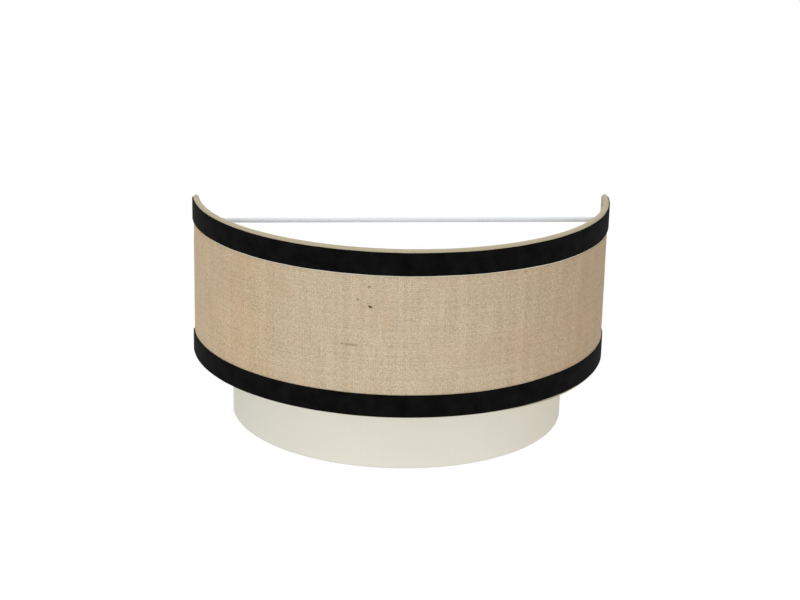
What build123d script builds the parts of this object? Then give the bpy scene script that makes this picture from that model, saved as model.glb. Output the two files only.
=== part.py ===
from build123d import *
import math
import os

# A wall light with two half-drum cloth shades, one hanging lower inside the other.
# Millimetres. +Z is up and +Y points into the wall. The origin is on the wall, in the
# middle of the back of the fixing strap.

# ---- Driving sizes: shades ----
rim_above_strap = 84.0  # top of the outer shade above the strap's middle
arc_centre_y = 8.0  # both drums' axis lies this far behind the wall, so they are under half round
back_gap = 1.0  # from the shade's back edges to the wall
outer_radius = 190.0  # outer face of the outer cloth
outer_height = 148.0
shade_gap = 35.0  # from the outer cloth's face in to the inner one's
inner_height = 150.0
inner_drop = 60.0  # top of the inner shade below the top of the outer one

cloth_t = 0.6
liner_t = 0.3
binding_t = 0.4
ribbon_t = 0.8
ribbon_width = 20.0
upper_ribbon_inset = 1.7  # from the outer shade's top edge down to the ribbon
lower_ribbon_inset = 0.8  # from its bottom edge up to the ribbon
ribbon_wrap = 120.0  # degrees that the ribbon turns round the end wire
tuck_angle = 240.0  # degrees that a rolled edge turns round its ring
return_length = 11.0  # cloth turned back inside past the end wire
tuck_lap = 1.5  # the rolled edges' tucks start this far inside the returns
glue_gap = 0.05  # film of glue between wire and cloth

# ---- Driving sizes: wire frames ----
ring_d = 3.5
upright_d = 3.6
rod_d = 5.0
rod_inset = 23.2  # from the outer shade's top to the rod across its back
lower_link_rise = 24.4  # from the outer shade's bottom to the lower links
upper_link_drop = 10.0  # upper links below the inner shade's top
weld_depth = 0.6  # a rod's end is notched this deep over the wire it is welded to
rod_hole_gap = 0.3  # round a rod where it passes through cloth

# ---- Driving sizes: wall unit ----
canopy_width = 110.0
canopy_height = 52.0
canopy_depth = 24.0
canopy_wall = 1.2
canopy_corner = 7.0
canopy_edge_r = 1.8
strap_t = 2.0
strap_height = 36.0
strap_lug_depth = 14.0
lug_margin = 3.0  # above and below the side screw's head
lug_edge = 1.0  # in front of the head
slot_spacing = 60.0
slot_width = 5.0
slot_length = 9.0
cable_hole_r = 7.0
cable_hole_drop = 10.0

hook_spacing = 80.0
hook_t = 3.0
hook_wall = 4.0  # steel round the notch
hook_lip = 5.5  # top of the hook above the bar's centre
hook_foot = 14.0  # bottom of the hook plate below the bar's centre
hook_gap = 0.08  # between bar and notch
hook_root = 1.5  # notch's back wall in front of the cover box

side_screw_d = 4.0
side_screw_gap = 0.15
side_screw_head_d = 7.5
side_screw_head_t = 2.4
side_screw_reach = 2.0  # past the lug
side_screw_slot = 1.0

# ---- Driving sizes: lamp arm and lampholder ----
lamp_reach = 78.0  # lamp's axis in front of the wall
arm_width = 24.0
arm_t = 2.0
arm_bend = 3.0  # inside radius of the bend
arm_drop = 20.0  # underside of the arm below the strap's middle
arm_rise = 8.0  # top of the arm's upright leg above the strap's middle
arm_hole_gap = 0.3
arm_seat = 1.5  # of the arm, round the lampholder's cap
arm_tip_flat = 0.5

nipple_d = 10.0
nipple_bore_r = 3.5
nipple_drop = 7.0
nipple_ahead = 5.0  # beyond the outer nut
nipple_behind = 1.0  # beyond the inner nut
nipple_chamfer = 0.6
nut_width = 14.0
nut_t = 3.0

cable_d = 4.6
core_d = 2.0
cable_inside = 5.0  # sheath that reaches past the inner nut
cable_bend = 13.8
cable_back = 28.3  # from the lamp's axis back to where the cable rises
lead_bend = 3.0

skirt_r = 14.0
skirt_wall = 1.6
skirt_length = 24.0
cap_r = 17.0
cap_rise = 25.0
cap_wall = 1.8
cap_entry_r = 6.0
cap_shoulder_rise = 13.8
cap_taper = 0.6  # from the cap's foot in to its shoulder
cap_dome_in = 3.4  # a point on the dome: in from the foot, and down from the top
cap_dome_drop = 4.6
skirt_chamfer = 0.5
shade_ring_r = 19.5
shade_ring_t = 7.0
ring_thread_gap = 0.05
ring_edge_r = 1.5
ring_flutes = 24
ring_flute_r = 0.7
core_t = 9.0
core_hole_in = 1.0  # from the screw shell's wall to the wires' holes
wire_hole_gap = 0.4
screw_shell_r = 7.6
screw_shell_t = 0.4
screw_shell_gap = 1.0  # from the shell's mouth to the bulb's glass
contact_t = 0.5
contact_width = 4.6
contact_root = 5.3  # behind the bulb's axis, where the spring starts
contact_knee = 2.3
contact_tip = 3.0
contact_rise = 2.0  # the lampholder's core stands this far above the bulb's tip
contact_gap = 0.1

# ---- Driving sizes: bulb ----
bulb_r = 22.5
bulb_length = 78.0
bulb_neck_r = 8.5
bulb_cap_r = 6.9
bulb_cap_length = 17.0
bulb_tip_r = 2.4
bulb_tip_t = 1.6
bulb_tip_edge = 0.9
bulb_join_angle = 46.0  # degrees above the ball's middle where its neck begins
bulb_ball_pull = 9.0  # how far the neck's curve keeps the ball's direction
bulb_neck_pull = 6.0
bulb_neck_straight = 4.0
bulb_neck_inside = 3.0  # of the glass, above the lampholder's mouth
bulb_cone_length = 3.0
bulb_cone_rim = 1.2  # round the tip, where the cap's cone ends

# ---- Driving sizes: terminals ----
pole_pitch = 10.0
pole_count = 3
block_height = 15.0
block_depth = 11.0
block_rise = 2.5  # underside of the block above the strap's middle
block_chamfer = 2.0
block_slit = 1.2
block_slit_depth = 2.5
pole_stand = 4.4  # from the strap to the poles' middle
terminal_screw_r = 1.9
terminal_screw_t = 1.6
terminal_screw_sink = 3.0
terminal_screw_gap = 0.3
earth_x = 24.0
earth_drop = 13.0
earth_washer_r = 4.2
earth_washer_t = 0.8
earth_head_r = 3.2
earth_head_t = 2.4
earth_slot_width = 0.9
earth_slot_depth = 1.0
earth_lead_side = 5.0  # past its pole
lead_inside = 5.0  # of a lead, in the block

# ---- Values worked out from them ----
inner_radius = outer_radius - shade_gap
roll_in = upright_d / 2 + glue_gap  # inside of the cloth where it turns round a wire
cloth_out = roll_in + cloth_t
binding_out = cloth_out + binding_t
ribbon_out = binding_out + ribbon_t
upright_y = -(back_gap + ribbon_out)
outer_wire_r = outer_radius - cloth_out  # from the drums' axis to the outer frame's wires
inner_wire_r = inner_radius - cloth_out

outer_top = rim_above_strap
outer_bottom = outer_top - outer_height
inner_top = outer_top - inner_drop
inner_bottom = inner_top - inner_height
outer_high = outer_top - binding_out  # middle of the outer top ring's wire
outer_low = outer_bottom + binding_out
inner_high = inner_top - cloth_out
inner_low = inner_bottom + cloth_out
upper_rod_z = outer_top - rod_inset
lower_link_z = outer_bottom + lower_link_rise
upper_link_z = inner_top - upper_link_drop
ring_r = ring_d / 2
upright_r = upright_d / 2
rod_r = rod_d / 2

arm_top = -arm_drop + arm_t
front_y = -canopy_depth
arm_front_y = front_y - arm_t
lamp_y = -lamp_reach
bar_z = inner_high
notch_r = rod_r + hook_gap
bar_y = front_y - hook_root - notch_r
nipple_z = -nipple_drop
nipple_back_y = front_y + canopy_wall + nut_t + nipple_behind
nipple_front_y = arm_front_y - nut_t - nipple_ahead
socket_mouth = -arm_drop - skirt_length
cap_top = arm_top + cap_rise

drum_axis = Axis((0, arc_centre_y, 0), (0, 0, 1))
lamp_axis = Axis((0, lamp_y, 0), (0, 0, 1))


def finish(piece, label):
    """Names a finished piece and writes it as parts/LABEL.step."""
    piece.label = label
    export_step(piece, f"parts/{label}.step")


def end_angle(wire_r, y=None):
    """Degrees from the wall's direction to the point of a plan circle with the given y."""
    y = upright_y if y is None else y
    return math.degrees(math.asin((arc_centre_y - y) / wire_r))


def plan_x(radius, y=None):
    """Half-width of a plan circle about the drums' axis, at the given y."""
    y = upright_y if y is None else y
    return math.sqrt(radius**2 - (arc_centre_y - y) ** 2)


def radial_plane(angle, centre):
    """Upright plane through centre: its x runs outwards at the plan angle, its y is up."""
    turn = math.radians(angle)
    outwards = Vector(math.cos(turn), math.sin(turn), 0)
    return Plane(origin=centre, x_dir=outwards, z_dir=outwards.cross(Vector(0, 0, 1)))


def drum_plane(start):
    """Radial plane through the drums' axis at the left end, start degrees off the wall."""
    return radial_plane(180 + start, (0, arc_centre_y, 0))


def sweep_round(start):
    """Revolves the pending section from the left end round the front to the right end."""
    revolve(axis=drum_axis, revolution_arc=180 - 2 * start)


def end_turns(wire_r):
    """Centre and first plan angle of the turn round each end wire: outside to inside."""
    lean = end_angle(wire_r)
    x = plan_x(wire_r)
    return [(Vector(-x, upright_y, 0), lean), (Vector(x, upright_y, 0), -lean)]


def return_flaps(wire_r, length, inside, outside, low, high):
    """Adds what is turned back inside at both ends, between two distances from the wire."""
    lean = end_angle(wire_r)
    flap = math.degrees(length / wire_r)
    for first in (180 + lean, 360 - lean - flap):
        with BuildSketch(radial_plane(first, (0, arc_centre_y, 0))) as section:
            with Locations((wire_r - (inside + outside) / 2, (low + high) / 2)):
                Rectangle(outside - inside, high - low)
        revolve(section.sketch, axis=drum_axis, revolution_arc=flap)


def tuck(wire_r, length, wire_z, up, middle, thick):
    """Adds the strip of a rolled edge that turns on under its ring, to touch the liner."""
    start = end_angle(wire_r) + math.degrees((length - tuck_lap) / wire_r)
    leave = math.radians(tuck_angle)
    turn_end = Vector(wire_r + middle * math.cos(leave), wire_z + up * middle * math.sin(leave))
    ahead = Vector(-math.sin(leave), up * math.cos(leave))
    liner_face = wire_r + roll_in - liner_t
    run = (liner_face - glue_gap - thick * abs(math.cos(leave)) / 2 - turn_end.X) / ahead.X
    with BuildSketch(drum_plane(start)) as section:
        with BuildLine():
            CenterArc((wire_r, wire_z), middle, 180 * up, (tuck_angle - 180) * up)
            Line(turn_end, turn_end + ahead * run)
        trace(line_width=thick)
    revolve(section.sketch, axis=drum_axis, revolution_arc=180 - 2 * start)


def make_cloth(wire_r, low, high):
    """Cloth skin: a wall whose four edges are rolled over the wires of its frame."""
    middle = roll_in + cloth_t / 2
    lean = end_angle(wire_r)
    with BuildPart() as cloth:
        with BuildSketch(drum_plane(lean)):
            with BuildLine():
                CenterArc((wire_r, high), middle, 0, 180)
                Line((wire_r + middle, high), (wire_r + middle, low))
                CenterArc((wire_r, low), middle, 180, 180)
            trace(line_width=cloth_t)
        sweep_round(lean)
        tuck(wire_r, return_length, high, 1, middle, cloth_t)
        tuck(wire_r, return_length, low, -1, middle, cloth_t)
        for centre, first in end_turns(wire_r):
            with BuildSketch(radial_plane(first, centre)):
                with BuildLine():
                    CenterArc((0, high), middle, 0, 90)
                    Line((middle, high), (middle, low))
                    CenterArc((0, low), middle, 270, 90)
                trace(line_width=cloth_t)
            revolve(axis=Axis(centre, (0, 0, 1)), revolution_arc=180)
        return_flaps(wire_r, return_length, roll_in, cloth_out, low, high)
    return cloth


def make_binding(wire_r, wire_z, up, ribbon_inset):
    """Edge binding: rolled over the cloth's own rolled edge, its outer leg under the ribbon."""
    middle = cloth_out + binding_t / 2
    lean = end_angle(wire_r)
    leg = wire_z - up * (ribbon_inset + ribbon_width - binding_out)
    length = return_length + 2 * tuck_lap
    with BuildPart() as binding:
        with BuildSketch(drum_plane(lean)):
            with BuildLine():
                CenterArc((wire_r, wire_z), middle, 0, 180 * up)
                Line((wire_r + middle, wire_z), (wire_r + middle, leg))
            trace(line_width=binding_t)
        sweep_round(lean)
        tuck(wire_r, length, wire_z, up, middle, binding_t)
        for centre, first in end_turns(wire_r):
            with BuildSketch(radial_plane(first, centre)):
                with BuildLine():
                    CenterArc((0, wire_z), middle, 0, 90 * up)
                    Line((middle, wire_z), (middle, leg))
                trace(line_width=binding_t)
            revolve(axis=Axis(centre, (0, 0, 1)), revolution_arc=180)
        foot, head = sorted((leg, wire_z))
        return_flaps(wire_r, length, cloth_out, binding_out, foot, head)
    return binding


def make_ribbon(wire_r, low):
    """Flat ribbon that stands on the binding and turns round both end wires."""
    middle = binding_out + ribbon_t / 2
    lean = end_angle(wire_r)
    x = plan_x(wire_r)
    with BuildPart() as ribbon:
        with BuildSketch(Plane.XY.offset(low)):
            with BuildLine():
                CenterArc((-x, upright_y), middle, 180 + lean - ribbon_wrap, ribbon_wrap)
                CenterArc((0, arc_centre_y), wire_r + middle, 180 + lean, 180 - 2 * lean)
                CenterArc((x, upright_y), middle, -lean, ribbon_wrap)
            trace(line_width=ribbon_t)
        extrude(amount=ribbon_width)
    return ribbon


def make_liner(wire_r, low, high):
    """Lining sheet on the cloth's inner face, cut short of the wires on all four sides."""
    face = wire_r + roll_in
    start = end_angle(wire_r) + math.degrees((rod_r + rod_hole_gap) / wire_r)
    clear = ring_r + glue_gap
    with BuildPart() as liner:
        with BuildSketch(drum_plane(start)):
            with Locations((face - liner_t / 2, (low + high) / 2)):
                Rectangle(liner_t, high - low - 2 * clear)
        sweep_round(start)
    return liner


def make_ring(wire_r, wire_z):
    """Half-round wire whose flat ends butt against the end wires that it is welded to."""
    start = end_angle(wire_r) + math.degrees(upright_r / wire_r)
    with BuildPart() as ring:
        with BuildSketch(drum_plane(start)):
            with Locations((wire_r, wire_z)):
                Circle(ring_r)
        sweep_round(start)
    return ring


def make_uprights(wire_r, low, high):
    """Both end wires of a frame, with rounded ends."""
    with BuildPart() as uprights:
        for side in (-1, 1):
            centre = Vector(side * plan_x(wire_r), upright_y, 0)
            with BuildSketch(Plane(origin=centre, x_dir=(1, 0, 0), z_dir=(0, -1, 0))):
                with BuildLine():
                    CenterArc((0, high), upright_r, 0, 90)
                    Line((upright_r, high), (upright_r, low))
                    CenterArc((0, low), upright_r, 270, 90)
                    Line((0, low - upright_r), (0, high + upright_r))
                make_face()
            revolve(axis=Axis(centre, (0, 0, 1)))
    return uprights


def cut_rod_holes(end_x, inwards, y, heights):
    """Cuts both sides' holes for rods along X, from where they end at a wire."""
    reach = 3 * rod_r
    for side in (-1, 1):
        for z in heights:
            middle_x = side * (end_x - inwards * reach / 2)
            with Locations(Location((middle_x, y, z), (0, 90, 0))):
                Cylinder(rod_r + rod_hole_gap, reach, mode=Mode.SUBTRACT)


os.makedirs("parts", exist_ok=True)

# ---- Wire frames ----
outer_uprights = make_uprights(outer_wire_r, outer_low, outer_high)
inner_uprights = make_uprights(inner_wire_r, inner_low, inner_high)
finish(outer_uprights.part, "outer_uprights")
finish(inner_uprights.part, "inner_uprights")

outer_top_ring = make_ring(outer_wire_r, outer_high)
outer_bottom_ring = make_ring(outer_wire_r, outer_low)
inner_top_ring = make_ring(inner_wire_r, inner_high)
inner_bottom_ring = make_ring(inner_wire_r, inner_low)
finish(outer_top_ring.part, "outer_top_ring")
finish(outer_bottom_ring.part, "outer_bottom_ring")
finish(inner_top_ring.part, "inner_top_ring")
finish(inner_bottom_ring.part, "inner_bottom_ring")

outer_post_x = plan_x(outer_wire_r)
inner_post_x = plan_x(inner_wire_r)
rod_end_x = outer_post_x - upright_r + weld_depth

with BuildPart() as upper_spreader_rod:
    with Locations(Location((0, upright_y, upper_rod_z), (0, 90, 0))):
        Cylinder(rod_r, 2 * rod_end_x)
    add(outer_uprights.part, mode=Mode.SUBTRACT)
finish(upper_spreader_rod.part, "upper_spreader_rod")

link_start_x = inner_post_x + upright_r - weld_depth
for name, height in (("upper_link_rods", upper_link_z), ("lower_link_rods", lower_link_z)):
    with BuildPart() as links:
        middle_x = (link_start_x + rod_end_x) / 2
        with Locations(
            Location((-middle_x, upright_y, height), (0, 90, 0)),
            Location((middle_x, upright_y, height), (0, 90, 0)),
        ):
            Cylinder(rod_r, rod_end_x - link_start_x)
        add(outer_uprights.part, mode=Mode.SUBTRACT)
        add(inner_uprights.part, mode=Mode.SUBTRACT)
    finish(links.part, name)

bar_end_x = plan_x(inner_wire_r, bar_y) - ring_r + weld_depth
with BuildPart() as hanger_crossbar:
    with Locations(Location((0, bar_y, bar_z), (0, 90, 0))):
        Cylinder(rod_r, 2 * bar_end_x)
    add(inner_top_ring.part, mode=Mode.SUBTRACT)
finish(hanger_crossbar.part, "hanger_crossbar")

# ---- Cloth, lining, binding and ribbon ----
outer_cloth = make_cloth(outer_wire_r, outer_low, outer_high)
with outer_cloth:
    cut_rod_holes(outer_post_x, 1, upright_y, (upper_rod_z, upper_link_z, lower_link_z))
finish(outer_cloth.part, "outer_cloth")

inner_cloth = make_cloth(inner_wire_r, inner_low, inner_high)
with inner_cloth:
    cut_rod_holes(inner_post_x, -1, upright_y, (upper_link_z, lower_link_z))
    cut_rod_holes(bar_end_x, 1, bar_y, (bar_z,))
finish(inner_cloth.part, "inner_cloth")

outer_liner = make_liner(outer_wire_r, outer_low, outer_high)
inner_liner = make_liner(inner_wire_r, inner_low, inner_high)
finish(outer_liner.part, "outer_liner")
finish(inner_liner.part, "inner_liner")

upper_binding = make_binding(outer_wire_r, outer_high, 1, upper_ribbon_inset)
with upper_binding:
    cut_rod_holes(outer_post_x, 1, upright_y, (upper_rod_z,))
lower_binding = make_binding(outer_wire_r, outer_low, -1, lower_ribbon_inset)
finish(upper_binding.part, "upper_binding")
finish(lower_binding.part, "lower_binding")

upper_ribbon = make_ribbon(outer_wire_r, outer_top - upper_ribbon_inset - ribbon_width)
lower_ribbon = make_ribbon(outer_wire_r, outer_bottom + lower_ribbon_inset)
finish(upper_ribbon.part, "upper_ribbon")
finish(lower_ribbon.part, "lower_ribbon")

# ---- Wall strap ----
inside_half_width = canopy_width / 2 - canopy_wall
lug_middle_y = -strap_lug_depth + side_screw_head_d / 2 + lug_edge
with BuildPart() as wall_strap:
    with BuildSketch(Plane.XZ):
        Rectangle(2 * inside_half_width, strap_height)
        with GridLocations(slot_spacing, 0, 2, 1):
            SlotOverall(slot_length, slot_width, mode=Mode.SUBTRACT)
        with Locations((0, -cable_hole_drop)):
            Circle(cable_hole_r, mode=Mode.SUBTRACT)
    extrude(amount=strap_t)
    lug_height = side_screw_head_d + 2 * lug_margin
    for side in (-1, 1):
        with Locations((side * (inside_half_width - strap_t / 2), -strap_lug_depth / 2, 0)):
            Box(strap_t, strap_lug_depth, lug_height)
    with Locations(Location((0, lug_middle_y, 0), (0, 90, 0))):
        Cylinder(side_screw_d / 2 + glue_gap, canopy_width, mode=Mode.SUBTRACT)
finish(wall_strap.part, "wall_strap")

# ---- Cover box ----
with BuildPart() as canopy:
    with BuildSketch(Plane.XZ):
        RectangleRounded(canopy_width, canopy_height, canopy_corner)
    extrude(amount=canopy_depth)
    fillet(canopy.faces().sort_by(Axis.Y)[0].edges(), radius=canopy_edge_r)
    offset(amount=-canopy_wall, openings=canopy.faces().sort_by(Axis.Y)[-1])
    with Locations(Location((0, lug_middle_y, 0), (0, 90, 0))):
        Cylinder(side_screw_d / 2 + side_screw_gap, 2 * canopy_width, mode=Mode.SUBTRACT)
    with Locations(Location((0, front_y, nipple_z), (90, 0, 0))):
        Cylinder(nipple_d / 2 + side_screw_gap, 4 * canopy_wall, mode=Mode.SUBTRACT)
finish(canopy.part, "canopy")

with BuildPart() as canopy_screws:
    for side in (-1, 1):
        shank_length = canopy_wall + strap_t + side_screw_reach
        shank_x = canopy_width / 2 - shank_length / 2
        with Locations(Location((side * shank_x, lug_middle_y, 0), (0, side * 90, 0))):
            Cylinder(side_screw_d / 2, shank_length)
        outside = Plane(origin=(side * canopy_width / 2, lug_middle_y, 0), z_dir=(side, 0, 0))
        with BuildSketch(outside):
            Circle(side_screw_head_d / 2)
        extrude(amount=side_screw_head_t)
        head = canopy_screws.faces().sort_by(Axis.X)[-1 if side > 0 else 0]
        fillet(head.edges(), radius=side_screw_head_t / 2)
    for side in (-1, 1):
        slot_x = side * (canopy_width / 2 + side_screw_head_t)
        with Locations((slot_x, lug_middle_y, 0)):
            Box(side_screw_head_t, side_screw_head_d * 2, side_screw_slot, mode=Mode.SUBTRACT)
finish(canopy_screws.part, "canopy_screws")

# ---- Hook plates that carry the shade ----
hook_front_y = bar_y - notch_r - hook_wall
with BuildPart() as hook_plates:
    for side in (-1, 1):
        plate_x = side * hook_spacing / 2 - hook_t / 2
        with BuildSketch(Plane(origin=(plate_x, 0, 0), x_dir=(0, 1, 0), z_dir=(1, 0, 0))):
            with BuildLine():
                Polyline(
                    (front_y, bar_z + hook_lip),
                    (hook_front_y, bar_z + hook_lip),
                    (hook_front_y, bar_z - rod_r),
                    (front_y, bar_z - hook_foot),
                    close=True,
                )
            make_face()
            with Locations((bar_y, bar_z + hook_lip)):
                SlotOverall(2 * (hook_lip + notch_r), 2 * notch_r, rotation=90, mode=Mode.SUBTRACT)
        extrude(amount=hook_t)
    nose = hook_plates.edges().filter_by(Axis.X).group_by(Axis.Y)[0].group_by(Axis.Z)[-1]
    fillet(nose, radius=hook_wall / 3)
finish(hook_plates.part, "hook_plates")

# ---- Lamp arm ----
arm_tip_y = lamp_y - arm_width / 2
with BuildPart() as lamp_arm:
    with BuildSketch(Plane.YZ):
        with BuildLine():
            FilletPolyline(
                (front_y - arm_t / 2, arm_rise),
                (front_y - arm_t / 2, -arm_drop + arm_t / 2),
                (arm_tip_y, -arm_drop + arm_t / 2),
                radius=arm_bend + arm_t / 2,
            )
        trace(line_width=arm_t)
    extrude(amount=arm_width / 2, both=True)
    tip = lamp_arm.edges().filter_by(Axis.Z).group_by(Axis.Y)[0]
    fillet(tip, radius=arm_width / 2 - arm_tip_flat)
    head = lamp_arm.edges().filter_by(Axis.Y).group_by(Axis.Z)[-1]
    fillet(head, radius=arm_width / 4)
    with Locations((0, lamp_y, -arm_drop + arm_t / 2)):
        Cylinder(cap_r + arm_seat, arm_t)
        Cylinder(skirt_r + arm_hole_gap, 2 * arm_t, mode=Mode.SUBTRACT)
    with Locations(Location((0, arm_front_y + arm_t / 2, nipple_z), (90, 0, 0))):
        Cylinder(nipple_d / 2 + side_screw_gap, 2 * arm_t, mode=Mode.SUBTRACT)
finish(lamp_arm.part, "lamp_arm")

# ---- Threaded tube through cover and arm, and its nuts ----
nipple_length = nipple_back_y - nipple_front_y
nipple_middle_y = (nipple_back_y + nipple_front_y) / 2
with BuildPart() as hollow_nipple:
    with Locations(Location((0, nipple_middle_y, nipple_z), (90, 0, 0))):
        Cylinder(nipple_d / 2, nipple_length)
    chamfer(hollow_nipple.edges().filter_by(GeomType.CIRCLE), nipple_chamfer)
    with Locations(Location((0, nipple_middle_y, nipple_z), (90, 0, 0))):
        Cylinder(nipple_bore_r, 2 * nipple_length, mode=Mode.SUBTRACT)
finish(hollow_nipple.part, "hollow_nipple")

with BuildPart() as nipple_nuts:
    for back_y in (front_y + canopy_wall + nut_t, arm_front_y):
        with BuildSketch(Plane.XZ.offset(-back_y)):
            with Locations((0, nipple_z)):
                RegularPolygon(nut_width / 2, 6, major_radius=False)
                Circle(nipple_d / 2 + glue_gap, mode=Mode.SUBTRACT)
        extrude(amount=nut_t)
finish(nipple_nuts.part, "nipple_nuts")

# ---- Cable from the threaded tube to the lampholder ----
cable_start_y = nipple_back_y + cable_inside
cable_rise_y = lamp_y + cable_back
cable_top_z = cap_top + cable_bend + cable_d
with BuildPart() as lamp_cable:
    with BuildLine():
        FilletPolyline(
            (0, cable_start_y, nipple_z),
            (0, cable_rise_y, nipple_z),
            (0, cable_rise_y, cable_top_z),
            (0, lamp_y, cable_top_z),
            (0, lamp_y, cap_top - cap_wall),
            radius=cable_bend,
        )
    with BuildSketch(Plane(origin=(0, cable_start_y, nipple_z), z_dir=(0, -1, 0))):
        Circle(cable_d / 2)
    sweep()
finish(lamp_cable.part, "lamp_cable")

# ---- Lampholder ----
skirt_bore_r = skirt_r - skirt_wall
with BuildPart() as holder_skirt:
    with BuildSketch(Plane.XY.offset(socket_mouth)):
        with Locations((0, lamp_y)):
            Circle(skirt_r)
            Circle(skirt_bore_r, mode=Mode.SUBTRACT)
    extrude(amount=arm_top - socket_mouth)
    mouth = holder_skirt.faces().sort_by(Axis.Z)[0].edges()
    chamfer(mouth, skirt_chamfer)
finish(holder_skirt.part, "holder_skirt")

cap_shoulder = arm_top + cap_shoulder_rise
with BuildPart() as holder_cap:
    with BuildSketch(Plane(origin=(0, lamp_y, 0), x_dir=(1, 0, 0), z_dir=(0, -1, 0))):
        with BuildLine():
            Polyline(
                (cap_r - cap_wall, arm_top),
                (cap_r, arm_top),
                (cap_r - cap_taper, cap_shoulder),
            )
            ThreePointArc(
                (cap_r - cap_taper, cap_shoulder),
                (cap_r - cap_dome_in, cap_top - cap_dome_drop),
                (cap_entry_r + cap_wall, cap_top),
            )
            Polyline(
                (cap_entry_r + cap_wall, cap_top),
                (cable_d / 2 + glue_gap, cap_top),
                (cable_d / 2 + glue_gap, cap_top - cap_wall),
                (cap_entry_r, cap_top - cap_wall),
            )
            ThreePointArc(
                (cap_entry_r, cap_top - cap_wall),
                (cap_r - cap_dome_in - cap_wall, cap_top - cap_dome_drop - cap_wall / 2),
                (cap_r - cap_taper - cap_wall, cap_shoulder),
            )
            Line((cap_r - cap_taper - cap_wall, cap_shoulder), (cap_r - cap_wall, arm_top))
        make_face()
    revolve(axis=lamp_axis)
finish(holder_cap.part, "holder_cap")

with BuildPart() as holder_ring:
    with BuildSketch(Plane.XY.offset(-arm_drop - shade_ring_t)):
        with Locations((0, lamp_y)):
            Circle(shade_ring_r)
            Circle(skirt_r + ring_thread_gap, mode=Mode.SUBTRACT)
    extrude(amount=shade_ring_t)
    underside = holder_ring.faces().filter_by(Plane.XY).sort_by(Axis.Z)[0]
    fillet(underside.edges().sort_by(SortBy.LENGTH)[-1], radius=ring_edge_r)
    with BuildSketch(Plane.XY.offset(-arm_drop - shade_ring_t)):
        with Locations((0, lamp_y)):
            with PolarLocations(shade_ring_r, ring_flutes):
                Circle(ring_flute_r)
    extrude(amount=shade_ring_t - ring_edge_r, mode=Mode.SUBTRACT)
finish(holder_ring.part, "holder_ring")

# ---- Live parts ----
bulb_bottom = socket_mouth + bulb_neck_inside + bulb_cap_length - bulb_length
bulb_top = bulb_bottom + bulb_length
cap_end = bulb_top - bulb_tip_t
neck_z = bulb_top - bulb_cap_length
core_under = bulb_top + contact_rise
with BuildPart() as holder_core:
    with BuildSketch(Plane.XY.offset(core_under)):
        with Locations((0, lamp_y)):
            Circle(skirt_bore_r)
    extrude(amount=core_t)
    with BuildSketch(Plane.XY.offset(core_under + core_t)):
        with Locations((0, lamp_y)):
            with GridLocations(2 * (screw_shell_r - core_hole_in), 0, 2, 1):
                Circle(core_d / 2 + wire_hole_gap)
    extrude(amount=-core_t / 2, mode=Mode.SUBTRACT)
finish(holder_core.part, "holder_core")

with BuildPart() as screw_shell:
    with BuildSketch(Plane.XY.offset(core_under)):
        with Locations((0, lamp_y)):
            Circle(screw_shell_r + screw_shell_t)
            Circle(screw_shell_r, mode=Mode.SUBTRACT)
    extrude(amount=neck_z + screw_shell_gap - core_under)
finish(screw_shell.part, "screw_shell")

with BuildPart() as centre_contact:
    with BuildSketch(Plane(origin=(0, lamp_y, 0), x_dir=(1, 0, 0), z_dir=(0, -1, 0))):
        with BuildLine():
            Polyline(
                (-contact_root, core_under - contact_t / 2),
                (-contact_knee, core_under - contact_t / 2),
                (0, bulb_top + contact_gap + contact_t / 2),
                (contact_tip, bulb_top + contact_rise / 2),
            )
        trace(line_width=contact_t)
    extrude(amount=contact_width / 2, both=True)
finish(centre_contact.part, "centre_contact")

# ---- Bulb ----
ball_z = bulb_bottom + bulb_r
with BuildPart() as bulb_globe:
    with BuildSketch(Plane(origin=(0, lamp_y, 0), x_dir=(1, 0, 0), z_dir=(0, -1, 0))):
        with BuildLine():
            ball = CenterArc((0, ball_z), bulb_r, -90, 90 + bulb_join_angle)
            neck = Line((bulb_neck_r, neck_z - bulb_neck_straight), (bulb_neck_r, neck_z))
            Bezier(
                ball @ 1,
                ball @ 1 + (ball % 1) * bulb_ball_pull,
                (neck @ 0) - Vector(0, bulb_neck_pull),
                neck @ 0,
            )
            Polyline(
                neck @ 1,
                (bulb_cap_r, neck_z),
                (0, neck_z),
                (0, bulb_bottom),
            )
        make_face()
    revolve(axis=lamp_axis)
finish(bulb_globe.part, "bulb_globe")

with BuildPart() as bulb_cap:
    with BuildSketch(Plane(origin=(0, lamp_y, 0), x_dir=(1, 0, 0), z_dir=(0, -1, 0))):
        with BuildLine():
            Polyline(
                (0, neck_z),
                (bulb_cap_r, neck_z),
                (bulb_cap_r, cap_end - bulb_cone_length),
                (bulb_tip_r + bulb_cone_rim, cap_end),
                (0, cap_end),
                close=True,
            )
        make_face()
    revolve(axis=lamp_axis)
finish(bulb_cap.part, "bulb_cap")

with BuildPart() as bulb_tip:
    with BuildSketch(Plane.XY.offset(cap_end)):
        with Locations((0, lamp_y)):
            Circle(bulb_tip_r)
    extrude(amount=bulb_tip_t)
    fillet(bulb_tip.faces().sort_by(Axis.Z)[-1].edges(), radius=bulb_tip_edge)
finish(bulb_tip.part, "bulb_tip")

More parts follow.
